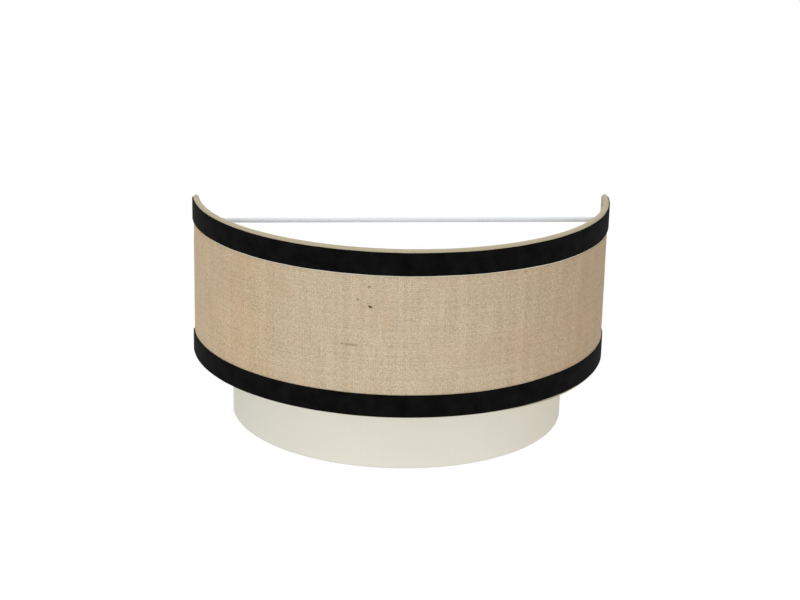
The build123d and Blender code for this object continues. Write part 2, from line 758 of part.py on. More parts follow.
# ---- Terminals and leads ----
block_width = pole_pitch * pole_count
block_z = block_rise + block_height / 2
block_y = -strap_t - block_depth / 2
pole_y = -strap_t - pole_stand
with BuildPart() as terminal_block:
    with Locations((0, block_y, block_z)):
        Box(block_width, block_depth, block_height)
    chamfer(terminal_block.edges().filter_by(Axis.X).group_by(Axis.Y)[0], block_chamfer)
    for wall in range(1, pole_count):
        with Locations((wall * pole_pitch - block_width / 2, -strap_t - block_depth, block_z)):
            Box(block_slit, 2 * block_slit_depth, 2 * block_height, mode=Mode.SUBTRACT)
    with BuildSketch(Plane.XZ.offset(strap_t + block_depth)):
        with Locations((0, block_z)):
            with GridLocations(pole_pitch, block_height / 2, pole_count, 2):
                Circle(terminal_screw_r + terminal_screw_gap)
    extrude(amount=-terminal_screw_sink, mode=Mode.SUBTRACT)
    with BuildSketch(Plane.XY.offset(block_rise)):
        with Locations((0, pole_y)):
            with GridLocations(pole_pitch, 0, pole_count, 1):
                Circle(core_d / 2 + wire_hole_gap)
    extrude(amount=block_height, mode=Mode.SUBTRACT)
finish(terminal_block.part, "terminal_block")

with BuildPart() as terminal_screws:
    with BuildSketch(Plane.XZ.offset(strap_t + block_depth - terminal_screw_sink)):
        with Locations((0, block_z)):
            with GridLocations(pole_pitch, block_height / 2, pole_count, 2):
                Circle(terminal_screw_r)
    extrude(amount=terminal_screw_t)
finish(terminal_screws.part, "terminal_screws")

with BuildPart() as earth_screw:
    with BuildSketch(Plane.XZ.offset(strap_t)):
        with Locations((earth_x, -earth_drop)):
            Circle(earth_washer_r)
    extrude(amount=earth_washer_t)
    with BuildSketch(Plane.XZ.offset(strap_t + earth_washer_t)):
        with Locations((earth_x, -earth_drop)):
            Circle(earth_head_r)
    extrude(amount=earth_head_t)
    with BuildSketch(Plane.XZ.offset(strap_t + earth_washer_t + earth_head_t)):
        with Locations((earth_x, -earth_drop)):
            Rectangle(3 * earth_head_r, earth_slot_width)
    extrude(amount=-earth_slot_depth, mode=Mode.SUBTRACT)
finish(earth_screw.part, "earth_screw")

pole_bottom_z = block_rise + lead_inside
core_side = cable_d / 4
earth_y = -strap_t - core_d / 2 - earth_washer_t
lead_routes = {
    "brown_lead": (
        (-core_side, cable_start_y, nipple_z),
        (-core_side, (cable_start_y + pole_y) / 2 - core_d / 2, nipple_z),
        (-pole_pitch, pole_y, nipple_z),
        (-pole_pitch, pole_y, pole_bottom_z),
    ),
    "blue_lead": (
        (core_side, cable_start_y, nipple_z),
        (core_side, pole_y, nipple_z),
        (0, pole_y, block_rise),
        (0, pole_y, pole_bottom_z),
    ),
    "earth_lead": (
        (pole_pitch, pole_y, pole_bottom_z),
        (pole_pitch, pole_y, nipple_z),
        (pole_pitch + earth_lead_side, earth_y, -earth_drop),
        (earth_x - earth_head_r - glue_gap, earth_y, -earth_drop),
    ),
}
for name, route in lead_routes.items():
    with BuildPart() as lead:
        with BuildLine() as path:
            FilletPolyline(*route, radius=lead_bend)
        with BuildSketch(Plane(origin=path.line @ 0, z_dir=path.line % 0)):
            Circle(core_d / 2)
        sweep()
    finish(lead.part, name)
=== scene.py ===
import math

import bpy
from bpy.props import FloatProperty, FloatVectorProperty, PointerProperty
from mathutils import Matrix, Vector, noise


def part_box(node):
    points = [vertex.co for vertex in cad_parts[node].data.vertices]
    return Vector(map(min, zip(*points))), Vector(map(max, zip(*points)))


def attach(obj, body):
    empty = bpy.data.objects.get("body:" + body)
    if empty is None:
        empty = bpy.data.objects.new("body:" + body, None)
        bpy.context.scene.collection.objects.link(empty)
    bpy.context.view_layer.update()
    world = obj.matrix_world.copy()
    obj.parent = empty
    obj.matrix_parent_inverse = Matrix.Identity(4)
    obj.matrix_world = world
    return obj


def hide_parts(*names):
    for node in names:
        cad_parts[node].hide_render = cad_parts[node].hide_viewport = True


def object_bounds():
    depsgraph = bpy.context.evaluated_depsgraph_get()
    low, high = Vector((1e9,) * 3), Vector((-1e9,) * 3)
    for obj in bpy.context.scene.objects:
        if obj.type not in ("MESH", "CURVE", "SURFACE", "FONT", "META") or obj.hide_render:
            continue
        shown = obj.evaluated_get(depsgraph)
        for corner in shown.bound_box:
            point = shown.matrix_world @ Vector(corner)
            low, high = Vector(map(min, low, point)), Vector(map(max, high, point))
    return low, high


bl_info = {
    "name": "Fabric Shade Wall Light",
    "version": (1, 0, 0),
    "blender": (4, 5, 0),
    "location": "View3D > Sidebar > Wall Light",
    "description": "Dresses a half-drum fabric wall light around its packed frame",
    "category": "Object",
}

# The frame comes first. Metres: +Z is up, and +Y points into the wall that the light hangs on.
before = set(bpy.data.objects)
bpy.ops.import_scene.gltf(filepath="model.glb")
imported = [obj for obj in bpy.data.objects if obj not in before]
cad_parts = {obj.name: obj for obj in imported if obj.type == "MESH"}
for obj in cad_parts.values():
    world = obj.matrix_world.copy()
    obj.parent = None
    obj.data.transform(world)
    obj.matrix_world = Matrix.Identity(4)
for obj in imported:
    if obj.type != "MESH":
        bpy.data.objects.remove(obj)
cad_box = [list(corner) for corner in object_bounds()]

MM = 0.001
UP = Vector((0, 0, 1))
CLOTH_MAP = "cloth"  # UV map of a cloth piece: metres along the flat cut and up it
STATION = 2.5 * MM  # Spacing of the stations along a cloth
END_STEPS = 12  # Stations where a cloth turns round an end wire
WELD = 0.001 * MM  # Points closer than this are one


def linear(hex_colour):
    """sRGB hex as linear red, green, blue and alpha."""
    parts = [int(hex_colour[place : place + 2], 16) / 255 for place in (0, 2, 4)]
    return [c / 12.92 if c <= 0.04045 else ((c + 0.055) / 1.055) ** 2.4 for c in parts] + [1.0]


def colour_property(name, description, hex_colour):
    """A colour that the user can change, kept as linear values."""
    default = linear(hex_colour)
    return FloatVectorProperty(
        name=name, description=description, subtype="COLOR", size=4, min=0, max=1, default=default
    )


def length_property(name, description, millimetres):
    """A length that the user can change."""
    return FloatProperty(
        name=name, description=description, unit="LENGTH", min=0, precision=5, default=millimetres * MM
    )


def angle_property(name, description, degrees):
    """An angle that the user can change."""
    return FloatProperty(
        name=name, description=description, subtype="ANGLE", default=math.radians(degrees)
    )


# ---- Sizes and colours that a user would change ----


class ShadeSettings(bpy.types.PropertyGroup):
    """Cloth of both half-drums, its trims and its lining."""

    axis_y: length_property("Drum axis", "How far behind the wall both drums' axis lies", 8.0)
    cloth_t: length_property("Cloth thickness", "Thickness of both shade cloths", 0.6)
    lining_t: length_property("Lining thickness", "Plastic lining behind the cloth", 0.3)
    binding_t: length_property("Binding thickness", "Thickness of the edge binding", 0.4)
    binding_rise: length_property("Binding rise", "How far the binding stands off the roll", 0.7)
    binding_stray: length_property("Binding stray", "How far the lower binding sags on the right", 1.4)
    ribbon_t: length_property("Ribbon thickness", "Velvet ribbon with its pile", 0.8)
    ribbon_edge: length_property("Ribbon edge", "Roundness of the ribbon's edges", 0.22)
    ribbon_wander: length_property("Ribbon wander", "How far the ribbon's edges wander", 0.2)
    ribbon_wave: length_property("Ribbon wave", "Length of that wander", 22.0)
    ribbon_stray: length_property("Ribbon stray", "How much wider the ribbons are on the right", 1.2)
    flap: length_property("Turned-back end", "Cloth turned back inside past an end wire", 11.0)
    binding_lap: length_property("Binding lap", "How much further the binding is turned back", 3.0)
    ripple_depth: length_property("Ripple depth", "How far a cloth wall wanders in and out", 0.25)
    ripple_wave: length_property("Ripple wave", "Length of that ripple", 35.0)
    ripple_fade: length_property("Ripple fade", "Where the ripple dies out beside an edge", 25.0)
    tuck_turn: angle_property("Rolled edge", "How far a rolled edge turns round its wire", 240)
    ribbon_turn: angle_property("Ribbon end", "How far the ribbon turns round an end wire", 120)
    jute_pitch: length_property("Jute thread pitch", "From one jute thread to the next", 1.5)
    cotton_pitch: length_property("Cotton thread pitch", "Drawn wider than real so it shows", 0.7)
    tape_pitch: length_property("Binding thread pitch", "Drawn wider than real so it shows", 0.9)
    jute_pale: colour_property("Jute, pale thread", "Lighter jute threads", "D6C7AE")
    jute_dark: colour_property("Jute, dark thread", "Darker jute threads", "AF9B7D")
    jute_pink: colour_property("Jute, pink patch", "Warm patches in the jute", "C9A98B")
    jute_green: colour_property("Jute, green patch", "Cool patches in the jute", "C0B496")
    slub_colour: colour_property("Jute slub", "Thick dark bits in the yarn", "64523A")
    knot_colour: colour_property("Jute knot", "Thin brown bits in the yarn", "9A8868")
    tuft_colour: colour_property("Jute tuft", "Long loose bits in the yarn", "AA9375")
    cream: colour_property("Cream cotton", "Inner shade's cloth", "E0DDD0")
    velvet: colour_property("Velvet", "Black cotton pile", "0A0A0A")
    velvet_sheen: colour_property("Velvet sheen", "Tips of the pile seen edge-on", "8B8B89")
    binding: colour_property("Binding", "Beige cotton edge tape", "AEA389")
    lining: colour_property("Lining", "White plastic lining sheet", "ECEAE4")
    glue_t: length_property("Adhesive thickness", "Line of adhesive below the upper ribbon", 0.12)
    glue_width: length_property("Adhesive width", "How far that line shows", 0.9)
    glue_colour: colour_property("Adhesive", "Dried clear adhesive", "D6D2BD")


class FittingSettings(bpy.types.PropertyGroup):
    """Wire frames, wall unit, lampholder and bulb."""

    coat: colour_property("White coat", "Epoxy powder coat on steel", "EFEFEC")
    wire_coat: colour_property("Wire coat", "Epoxy powder coat on wire and rod", "E6EAEE")
    plastic: colour_property("White plastic", "Lampholder and terminal block", "EDECE6")
    zinc: colour_property("Zinc plate", "Passivated zinc on steel", "9EA3A9")
    nickel: colour_property("Nickel plate", "Nickel on brass", "C6BFB2")
    brass: colour_property("Brass", "Sprung brass strip", "C9A45C")
    opal: colour_property("Opal glass", "White glass of the bulb", "F6F4EE")
    black_glass: colour_property("Black glass", "Insulator in the bulb's end", "17171A")
    solder: colour_property("Solder", "Soft solder on the bulb's end", "9FA1A3")
    steatite: colour_property("Steatite", "Fired core of the lampholder", "E9E3D2")
    sheath: colour_property("Cable sheath", "White PVC of the lamp cable", "F1F0EC")
    live: colour_property("Live core", "Brown PVC insulation", "6B3E24")
    neutral: colour_property("Neutral core", "Blue PVC insulation", "2E6DB4")
    earth_green: colour_property("Earth core, green", "One side of the earth core", "3E9B45")
    earth_yellow: colour_property("Earth core, yellow", "Its other side", "F2D22E")
    core_r: length_property("Core radius", "Radius of an insulated core", 1.0)
    nipple_pitch: length_property("Tube thread pitch", "Metric fine thread of the lamp tube", 1.0)
    nipple_depth: length_property("Tube thread depth", "Depth of that thread", 0.55)
    nipple_bore: length_property("Tube bore", "Radius of the lamp tube's bore", 3.5)
    nipple_bevel: length_property("Tube bevel", "Bevel round both ends of the lamp tube", 0.6)
    screw_r: length_property("Terminal screw", "Radius of a terminal screw's head", 1.9)
    screw_edge: length_property("Screw edge", "Roundness of that head's edge", 0.2)
    slot_width: length_property("Screw slot", "Width of its slot", 0.7)
    slot_depth: length_property("Screw slot depth", "Depth of its slot", 0.8)
    skirt_pitch: length_property("Skirt thread pitch", "Thread that carries the lampholder's ring", 2.0)
    skirt_depth: length_property("Skirt thread depth", "Depth of that thread", 0.6)
    skirt_wall: length_property("Skirt wall", "Plastic wall of the lampholder", 1.6)
    skirt_bevel: length_property("Skirt bevel", "Bevel round the skirt's mouth", 0.5)
    cap_pitch: length_property("Bulb thread pitch", "Round thread of a small screw cap", 2.82)
    cap_depth: length_property("Bulb thread depth", "Depth of that thread on the cap", 0.6)
    cap_collar: length_property("Cap collar", "Plain collar beside the globe", 2.2)
    cap_cone: length_property("Cap cone", "Plain end past the thread", 3.0)
    cap_rim: length_property("Cap rim", "Bevel where the cap turns in", 0.8)
    shell_depth: length_property("Screw shell depth", "Depth of that thread in the shell", 0.45)
    shell_wall: length_property("Screw shell wall", "Sheet of the lampholder's screw shell", 0.4)


class StageSettings(bpy.types.PropertyGroup):
    """Camera, light and floor."""

    lens: FloatProperty(name="Lens", description="Focal length", unit="CAMERA", default=85.2)
    distance: length_property("Camera distance", "From the outer shade's top edge", 1742.6)
    azimuth: angle_property("Camera azimuth", "How far it stands round from the front", -5.459)
    elevation: angle_property("Camera elevation", "How far it stands above that edge", 14.84)
    aim_azimuth: angle_property("Aim azimuth", "Direction the camera looks from", -5.506)
    aim_elevation: angle_property("Aim elevation", "How steeply the camera looks down", 18.118)
    roll: angle_property("Camera roll", "Tilt about the line of sight", 1.368)
    lamp_strength: FloatProperty(name="Lamps", description="Strength of all lamps", default=1.0)
    sky_strength: FloatProperty(name="Sky", description="Even light from all round", default=0.5)
    floor_drop: length_property("Floor", "How far the floor lies below the light", 1600.0)
    floor_size: length_property("Floor size", "Width of the floor", 6000.0)
    floor_colour: colour_property("Floor colour", "Plain pale floor", "BEBEBE")
    floor_glow: FloatProperty(
        name="Floor glow", description="Brings the floor to white where it is looked at", default=0.65
    )


# ---- Small helpers ----


def deselect():
    """Nothing is selected afterwards, so the next operator acts on its own piece."""
    bpy.ops.object.select_all(action="DESELECT")


def select(*pieces):
    """Selects these pieces alone and makes the first one active."""
    deselect()
    for piece in pieces:
        piece.select_set(True)
    bpy.context.view_layer.objects.active = pieces[0]


def apply_modifier(piece, kind, **settings):
    """Adds a modifier to a piece and applies it at once."""
    select(piece)
    modifier = piece.modifiers.new(kind.title(), kind)
    for name, value in settings.items():
        setattr(modifier, name, value)
    bpy.ops.object.modifier_apply(modifier=modifier.name)


def join(pieces, name):
    """Makes one piece of several and welds the points where they meet."""
    select(*pieces)
    if len(pieces) > 1:
        bpy.ops.object.join()
    whole = bpy.context.object
    bpy.ops.object.mode_set(mode="EDIT")
    bpy.ops.mesh.select_all(action="SELECT")
    bpy.ops.mesh.remove_doubles(threshold=WELD)
    bpy.ops.object.mode_set(mode="OBJECT")
    whole.name = whole.data.name = name
    return whole


def smooth(piece, degrees):
    """Shades a piece smoothly except across edges sharper than this."""
    select(piece)
    bpy.ops.object.shade_smooth_by_angle(angle=math.radians(degrees))


def connect(tree, value, socket):
    """Links a socket, or a node's first output that is in use, to a socket."""
    if isinstance(value, bpy.types.Node):
        value = next(output for output in value.outputs if output.enabled)
    tree.links.new(value, socket)


def add_node(tree, kind, inputs=None, **settings):
    """Adds a node. Inputs go by name or number: a node or a socket is linked, a value is set."""
    node = tree.nodes.new(kind)
    for name, value in settings.items():
        setattr(node, name, value)
    for place, value in (inputs or {}).items():
        if isinstance(value, (bpy.types.Node, bpy.types.NodeSocket)):
            connect(tree, value, node.inputs[place])
        else:
            node.inputs[place].default_value = value
    return node


def new_material(name, **constants):
    """A material with a Principled surface, its constants set on the shader's own sockets."""
    material = bpy.data.materials.new(name)
    material.use_nodes = True
    tree = material.node_tree
    tree.nodes.clear()
    shader = add_node(tree, "ShaderNodeBsdfPrincipled")
    for socket, value in constants.items():
        shader.inputs[socket.replace("_", " ")].default_value = value
    add_node(tree, "ShaderNodeOutputMaterial", {"Surface": shader})
    return material, tree, shader


def dress(material, *nodes):
    """Gives CAD nodes their material."""
    for name in nodes:
        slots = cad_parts[name].data.materials
        slots.clear()
        slots.append(material)


def settle(piece, body, slot, material, *replaced):
    """Finishes a new piece: its material, the body it rides on and the nodes it stands for."""
    piece.data.materials.clear()
    piece.data.materials.append(material)
    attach(piece, body)
    if replaced:
        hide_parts(*replaced)
    return piece


# ---- Half-drum geometry, read from the frame ----


def heading(angle):
    """Level direction at an angle round from the right."""
    return Vector((math.cos(angle), math.sin(angle), 0))


def measured(stations, place, far=0.0):
    """Adds to each station how far along the strip it lies."""
    done = []
    for index, station in enumerate(stations):
        if index:
            far += (place(station) - place(stations[index - 1])).length
        done.append((*station, far))
    return done


class Drum:
    """The wire frame of one half-drum: everything its cloth is wrapped round."""

    def __init__(self, name, axis_y):
        top_low, top_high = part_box(f"{name}_top_ring")
        bottom_low, bottom_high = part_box(f"{name}_bottom_ring")
        post_low, post_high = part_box(f"{name}_uprights")
        wire_r = (top_high.z - top_low.z) / 2
        self.axis_y = axis_y
        self.radius = axis_y - top_low.y - wire_r
        self.high = (top_high.z + top_low.z) / 2
        self.low = (bottom_high.z + bottom_low.z) / 2
        self.lean = math.asin((axis_y - (post_high.y + post_low.y) / 2) / self.radius)
        self.cloth_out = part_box(f"{name}_cloth")[1].z - self.high

    def way(self, angle):
        """Outward direction in plan, at an angle from the left side round the front."""
        return -heading(angle)

    def wire(self, angle):
        """Point of the ring's wire in plan."""
        return Vector((0, self.axis_y, 0)) + self.way(angle) * self.radius

    def plan(self, away, turn=math.pi, flap=0.0):
        """Stations along a strip laid round the frame: wire point, way out, metres so far."""
        first, last = self.lean, math.pi - self.lean
        flap_angle = flap / self.radius
        pairs = []

        def along(start, end, side=1):
            steps = math.ceil(abs(end - start) * self.radius / STATION)
            for step in range(steps):
                angle = start + (end - start) * step / steps
                pairs.append((self.wire(angle), self.way(angle) * side))

        def bend(angle, start):
            for step in range(END_STEPS):
                pairs.append((self.wire(angle), heading(start + turn * step / END_STEPS)))

        # In along the left flap, round its end wire, round the front, and back in on the right
        along(first + flap_angle, first, side=-1)
        bend(first, self.lean + math.pi - turn)
        along(first, first + flap_angle)
        along(first + flap_angle, last - flap_angle)
        along(last - flap_angle, last)
        bend(last, -self.lean)
        along(last, last - flap_angle, side=-1)
        pairs.append((self.wire(last - flap_angle), heading(turn - self.lean - flap_angle)))
        return measured(pairs, lambda pair: pair[0] + pair[1] * away)

    def plan_inside(self, away, flap):
        """Stations of a rolled edge between the turned-back ends, counted on from the first."""
        first = self.lean + flap / self.radius
        last = math.pi - first
        steps = math.ceil((last - first) * self.radius / STATION)
        angles = [first + (last - first) * step / steps for step in range(steps + 1)]
        pairs = [(self.wire(angle), self.way(angle)) for angle in angles]
        start = 2 * flap + math.pi * away
        return measured(pairs, lambda pair: pair[0] + pair[1] * self.cloth_out, start)


def arc(away, centre_z, start, end, steps=6):
    """Points of a section round a ring's wire: (distance out, height)."""
    angles = [math.radians(start + (end - start) * step / steps) for step in range(steps + 1)]
    return [(away * math.cos(angle), centre_z + away * math.sin(angle)) for angle in angles]


def section(points):
    """A strip's section with the metres so far up the cloth."""
    return measured([(Vector((out, z)),) for out, z in points], lambda station: station[0])


def wall(bottom, top, away, spacing=3 * MM):
    """Points of the straight part of a section, without its two ends."""
    steps = max(2, math.ceil((top - bottom) / spacing))
    return [(away, bottom + (top - bottom) * step / steps) for step in range(1, steps)]


def tuck(drum, away, up, settings, thick):
    """Section of a rolled edge past its ring's top: round the wire, then out to the lining."""
    ring_z = drum.high if up > 0 else drum.low
    leave = settings.tuck_turn
    round_wire = arc(away, ring_z, 90 * up, math.degrees(leave) * up, steps=10)
    ahead = Vector((-math.sin(leave), up * math.cos(leave)))
    end = Vector(round_wire[-1])
    lining_face = drum.cloth_out - settings.cloth_t - settings.lining_t
    run = (lining_face - thick * abs(math.cos(leave)) / 2 - end.x) / ahead.x
    points = round_wire + [tuple(end + ahead * run * share) for share in (0.5, 1.0)]
    return points if up > 0 else points[::-1]


def proud(points, level, rise):
    """Lets a rolled edge stand a little further beyond its wire than a tight wrap would."""
    side = math.copysign(1, rise)
    beyond = [max(0.0, side * (z - level)) for _, z in points]
    return [(out, z + rise * reach / max(beyond)) for (out, z), reach in zip(points, beyond)]


def strip(name, plan, profile, start=0.0):
    """A flat cut of cloth laid out as a grid, then wrapped: its UV map keeps the flat cut."""
    deselect()
    columns, rows = len(plan), len(profile)
    bpy.ops.mesh.primitive_grid_add(x_subdivisions=columns - 1, y_subdivisions=rows - 1, size=1)
    piece = bpy.context.object
    piece.name = name
    mesh = piece.data
    for index, vertex in enumerate(mesh.vertices):
        wire, way, _ = plan[index % columns]
        point, _ = profile[index // columns]
        vertex.co = wire + way * point.x + Vector((0, 0, point.y))
    flat = mesh.uv_layers[0]
    flat.name = CLOTH_MAP
    for loop in mesh.loops:
        column, row = loop.vertex_index % columns, loop.vertex_index // columns
        flat.data[loop.index].uv = (plan[column][2], profile[row][1] + start)
    return piece


def ripple(piece, depth, wave, low, high, fade):
    """Lets a cloth wall wander a little, and not at all where its edges are held."""
    for vertex in piece.data.vertices:
        hold = min(vertex.co.z - low, high - vertex.co.z) / fade
        hold = max(0.0, min(1.0, hold))
        vertex.co += vertex.normal * (depth * hold * noise.noise(vertex.co / wave))


def eased(start, end, value):
    """0 before start and 1 after end, with a soft change between them."""
    share = max(0.0, min(1.0, (value - start) / (end - start)))
    return share * share * (3 - 2 * share)


# Where the trims were laid by hand: degrees round from the front, growing and dying away
STRAY_GROWS = (15, 45)
STRAY_DIES = (74, 86)


def stray(piece, drum, held, free, far):
    """Lets a trim's free edge stray round the drum's right, where it was laid by hand."""
    for vertex in piece.data.vertices:
        turn = math.degrees(math.atan2(vertex.co.x, drum.axis_y - vertex.co.y))
        share = eased(*STRAY_GROWS, turn) * (1 - eased(*STRAY_DIES, turn))
        across = max(0.0, (vertex.co.z - held) / (free - held))
        vertex.co.z += far * share * across


def rolled_cloth(name, drum, settings):
    """A shade cloth: a wall with all four edges rolled over the wires of its frame."""
    away = drum.cloth_out - settings.cloth_t / 2
    outside = section(
        arc(away, drum.low, -90, 0)
        + wall(drum.low, drum.high, away)
        + arc(away, drum.high, 0, 90)
    )
    top_tuck = section(tuck(drum, away, 1, settings, settings.cloth_t))
    low_tuck = section(tuck(drum, away, -1, settings, settings.cloth_t))
    plan = drum.plan(away, flap=settings.flap)
    inside = drum.plan_inside(away, settings.flap)
    skin = join(
        [
            strip(name, plan, outside),
            strip(name, inside, top_tuck, start=outside[-1][1]),
            strip(name, inside, low_tuck, start=-low_tuck[-1][1]),
        ],
        name,
    )
    ripple(
        skin, settings.ripple_depth, settings.ripple_wave, drum.low, drum.high, settings.ripple_fade
    )
    apply_modifier(skin, "SOLIDIFY", thickness=settings.cloth_t, offset=0)
    smooth(skin, 60)
    width = outside[-1][1] + top_tuck[-1][1] + low_tuck[-1][1]
    return skin, (width, plan[-1][2])


# Bark in the front's yarn: mm round from its middle and up, length, width, tilt in degrees
SLUBS = ((-41.3, 34.2, 3.5, 2.0, -20), (-42.3, 34.6, 2.0, 2.0, 10))
KNOTS = (
    (-42.6, 51.8, 3.4, 2.0, 10),
    (-43.5, 37.0, 1.4, 1.8, 0),
    (-52.0, 40.0, 2.4, 1.8, -20),
    (-65.3, -0.1, 2.2, 1.7, 0),
    (-53.5, -0.1, 3.4, 1.4, 0),
    (95.0, 58.4, 2.0, 1.8, 0),
)
TUFTS = ((-58.6, -0.2, 13.0, 1.9, 0), (-55.0, -0.2, 9.0, 1.5, 0))
BARK_LUMPS = 1.7  # Lumps along half a piece of bark
BARK_UNEVEN = 0.5  # How much thicker and thinner they make it
BARK_STANDS = 0.3  # How far it stands off the cloth, as a share of its width


def slub(drum, across, up, length, width, tilt):
    """One lumpy spindle of bark, half sunk in the face of the cloth."""
    deselect()
    bpy.ops.mesh.primitive_uv_sphere_add(segments=14, ring_count=10, radius=1)
    piece = bpy.context.object
    turn = math.radians(tilt)
    face = drum.radius + drum.cloth_out
    for vertex in piece.data.vertices:
        lump = 1 + BARK_UNEVEN * noise.noise(vertex.co * BARK_LUMPS + Vector((across, up, 0)))
        along = vertex.co.x * length / 2 * MM
        over = vertex.co.z * width / 2 * MM * lump
        out = vertex.co.y * width * BARK_STANDS * MM * lump
        round_way = across * MM + along * math.cos(turn) - over * math.sin(turn)
        height = up * MM + along * math.sin(turn) + over * math.cos(turn)
        way = drum.way(math.pi / 2 + round_way / face)
        vertex.co = Vector((0, drum.axis_y, height)) + way * (face + out)
    return piece


# ---- Turned pieces ----


def threaded(radius, start, end, pitch, samples=10):
    """Rows of a thread: (radius, place, depth share), running out over a turn at both ends."""
    steps = math.ceil((end - start) / pitch * samples)
    rows = []
    for step in range(steps + 1):
        place = start + (end - start) * step / steps
        share = min(1.0, (place - start) / pitch, (end - place) / pitch)
        rows.append((radius, place, share))
    return rows


def round_node(name):
    """An upright round node as its box gives it: axis, radius, lowest and highest."""
    low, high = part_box(name)
    axis = Vector(((low.x + high.x) / 2, (low.y + high.y) / 2, 0))
    return axis, (high.x - low.x) / 2, low.z, high.z


def turned(name, middle, along, outline, pitch=1.0, depth=0.0, facets=72):
    """Wraps a grid round an axis: one row for each (radius, place, depth share) of the outline."""
    deselect()
    columns = facets + 1
    bpy.ops.mesh.primitive_grid_add(x_subdivisions=facets, y_subdivisions=len(outline) - 1, size=1)
    piece = bpy.context.object
    side = along.orthogonal().normalized()
    other = along.cross(side)
    for index, vertex in enumerate(piece.data.vertices):
        turn = (index % columns % facets) / facets
        radius, place, share = outline[index // columns]
        groove = 0.5 - 0.5 * math.cos(math.tau * (place / pitch - turn))
        radius -= depth * share * groove
        way = side * math.cos(math.tau * turn) + other * math.sin(math.tau * turn)
        vertex.co = middle + along * place + way * radius
    piece = join([piece], name)
    bpy.ops.object.mode_set(mode="EDIT")
    bpy.ops.mesh.select_all(action="SELECT")
    bpy.ops.mesh.dissolve_degenerate(threshold=WELD / 10)
    bpy.ops.mesh.normals_make_consistent(inside=False)
    bpy.ops.object.mode_set(mode="OBJECT")
    smooth(piece, 35)
    return piece


# ---- Materials of the fittings ----


CLOUD_SCALE = 30.0  # Clouds in a plain finish's tone and gloss, to the metre


def plain_material(name, colour, roughness, grain, relief, spread, **constants):
    """A moulded, painted or glazed finish whose tone, gloss and relief vary at its grain's size."""
    material, tree, shader = new_material(name, **constants)
    place = add_node(tree, "ShaderNodeTexCoord").outputs["Object"]
    fine = add_node(tree, "ShaderNodeTexNoise", {"Vector": place, "Scale": 1 / grain, "Detail": 2.0})
    broad = add_node(
        tree, "ShaderNodeTexNoise", {"Vector": place, "Scale": CLOUD_SCALE, "Detail": 3.0}
    )
    mixed = add_node(tree, "ShaderNodeMath", {0: fine, 1: broad}, operation="ADD")
    level = add_node(
        tree,
        "ShaderNodeMapRange",
        {"Value": mixed, "From Min": 0.7, "From Max": 1.3, "To Min": 1 - spread, "To Max": 1 + spread},
    )
    toned = add_node(
        tree, "ShaderNodeVectorMath", {0: tuple(colour)[:3], "Scale": level}, operation="SCALE"
    )
    connect(tree, toned, shader.inputs["Base Color"])
    glossy, matt = 0.85 * roughness, 1.1 * roughness
    gloss = add_node(
        tree,
        "ShaderNodeMapRange",
        {"Value": broad, "From Min": 0.3, "From Max": 0.7, "To Min": glossy, "To Max": matt},
    )
    connect(tree, gloss, shader.inputs["Roughness"])
    bump = add_node(tree, "ShaderNodeBump", {"Height": fine, "Strength": 0.5, "Distance": relief})
    connect(tree, bump, shader.inputs["Normal"])
    return material


def nickel_material(fittings):
    """Nickel-plated brass, rolled thin: bright and slightly warm, with fine drawing marks."""
    name = "nickel_plated_brass"
    return bpy.data.materials.get(name) or plain_material(
        name, fittings.nickel, roughness=0.22, grain=0.6 * MM, relief=0.02 * MM, spread=0.08, Metallic=1.0
    )


def striped_material(name, first, second, half_width, middle_x):
    """Two-colour insulation: the second colour covers one side of the core's straight run."""
    material, tree, shader = new_material(name, Roughness=0.4)
    place = add_node(tree, "ShaderNodeTexCoord").outputs["Object"]
    parts = add_node(tree, "ShaderNodeSeparateXYZ", {0: place})
    soft = 0.1 * half_width
    side = add_node(
        tree,
        "ShaderNodeMapRange",
        {"Value": parts.outputs["X"], "From Min": middle_x - soft, "From Max": middle_x + soft},
    )
    colour = add_node(tree, "ShaderNodeMix", {0: side, 6: first, 7: second}, data_type="RGBA")
    connect(tree, colour, shader.inputs["Base Color"])
    # Drawn grain, two thirds of a millimetre across
    fine = add_node(tree, "ShaderNodeTexNoise", {"Vector": place, "Scale": 1500.0, "Detail": 2.0})
    bump = add_node(tree, "ShaderNodeBump", {"Height": fine, "Strength": 0.3, "Distance": 0.02 * MM})
    connect(tree, bump, shader.inputs["Normal"])
    return material


# ---- Materials of the shade ----


THREAD_LIFT = 0.38  # How far a thread rises and dips where it crosses the others
DRIFT_LENGTH = 9  # Threads over which a weave's lines wander
WEFT_SEED = 977.0  # Gives the level threads other random numbers than the upright ones


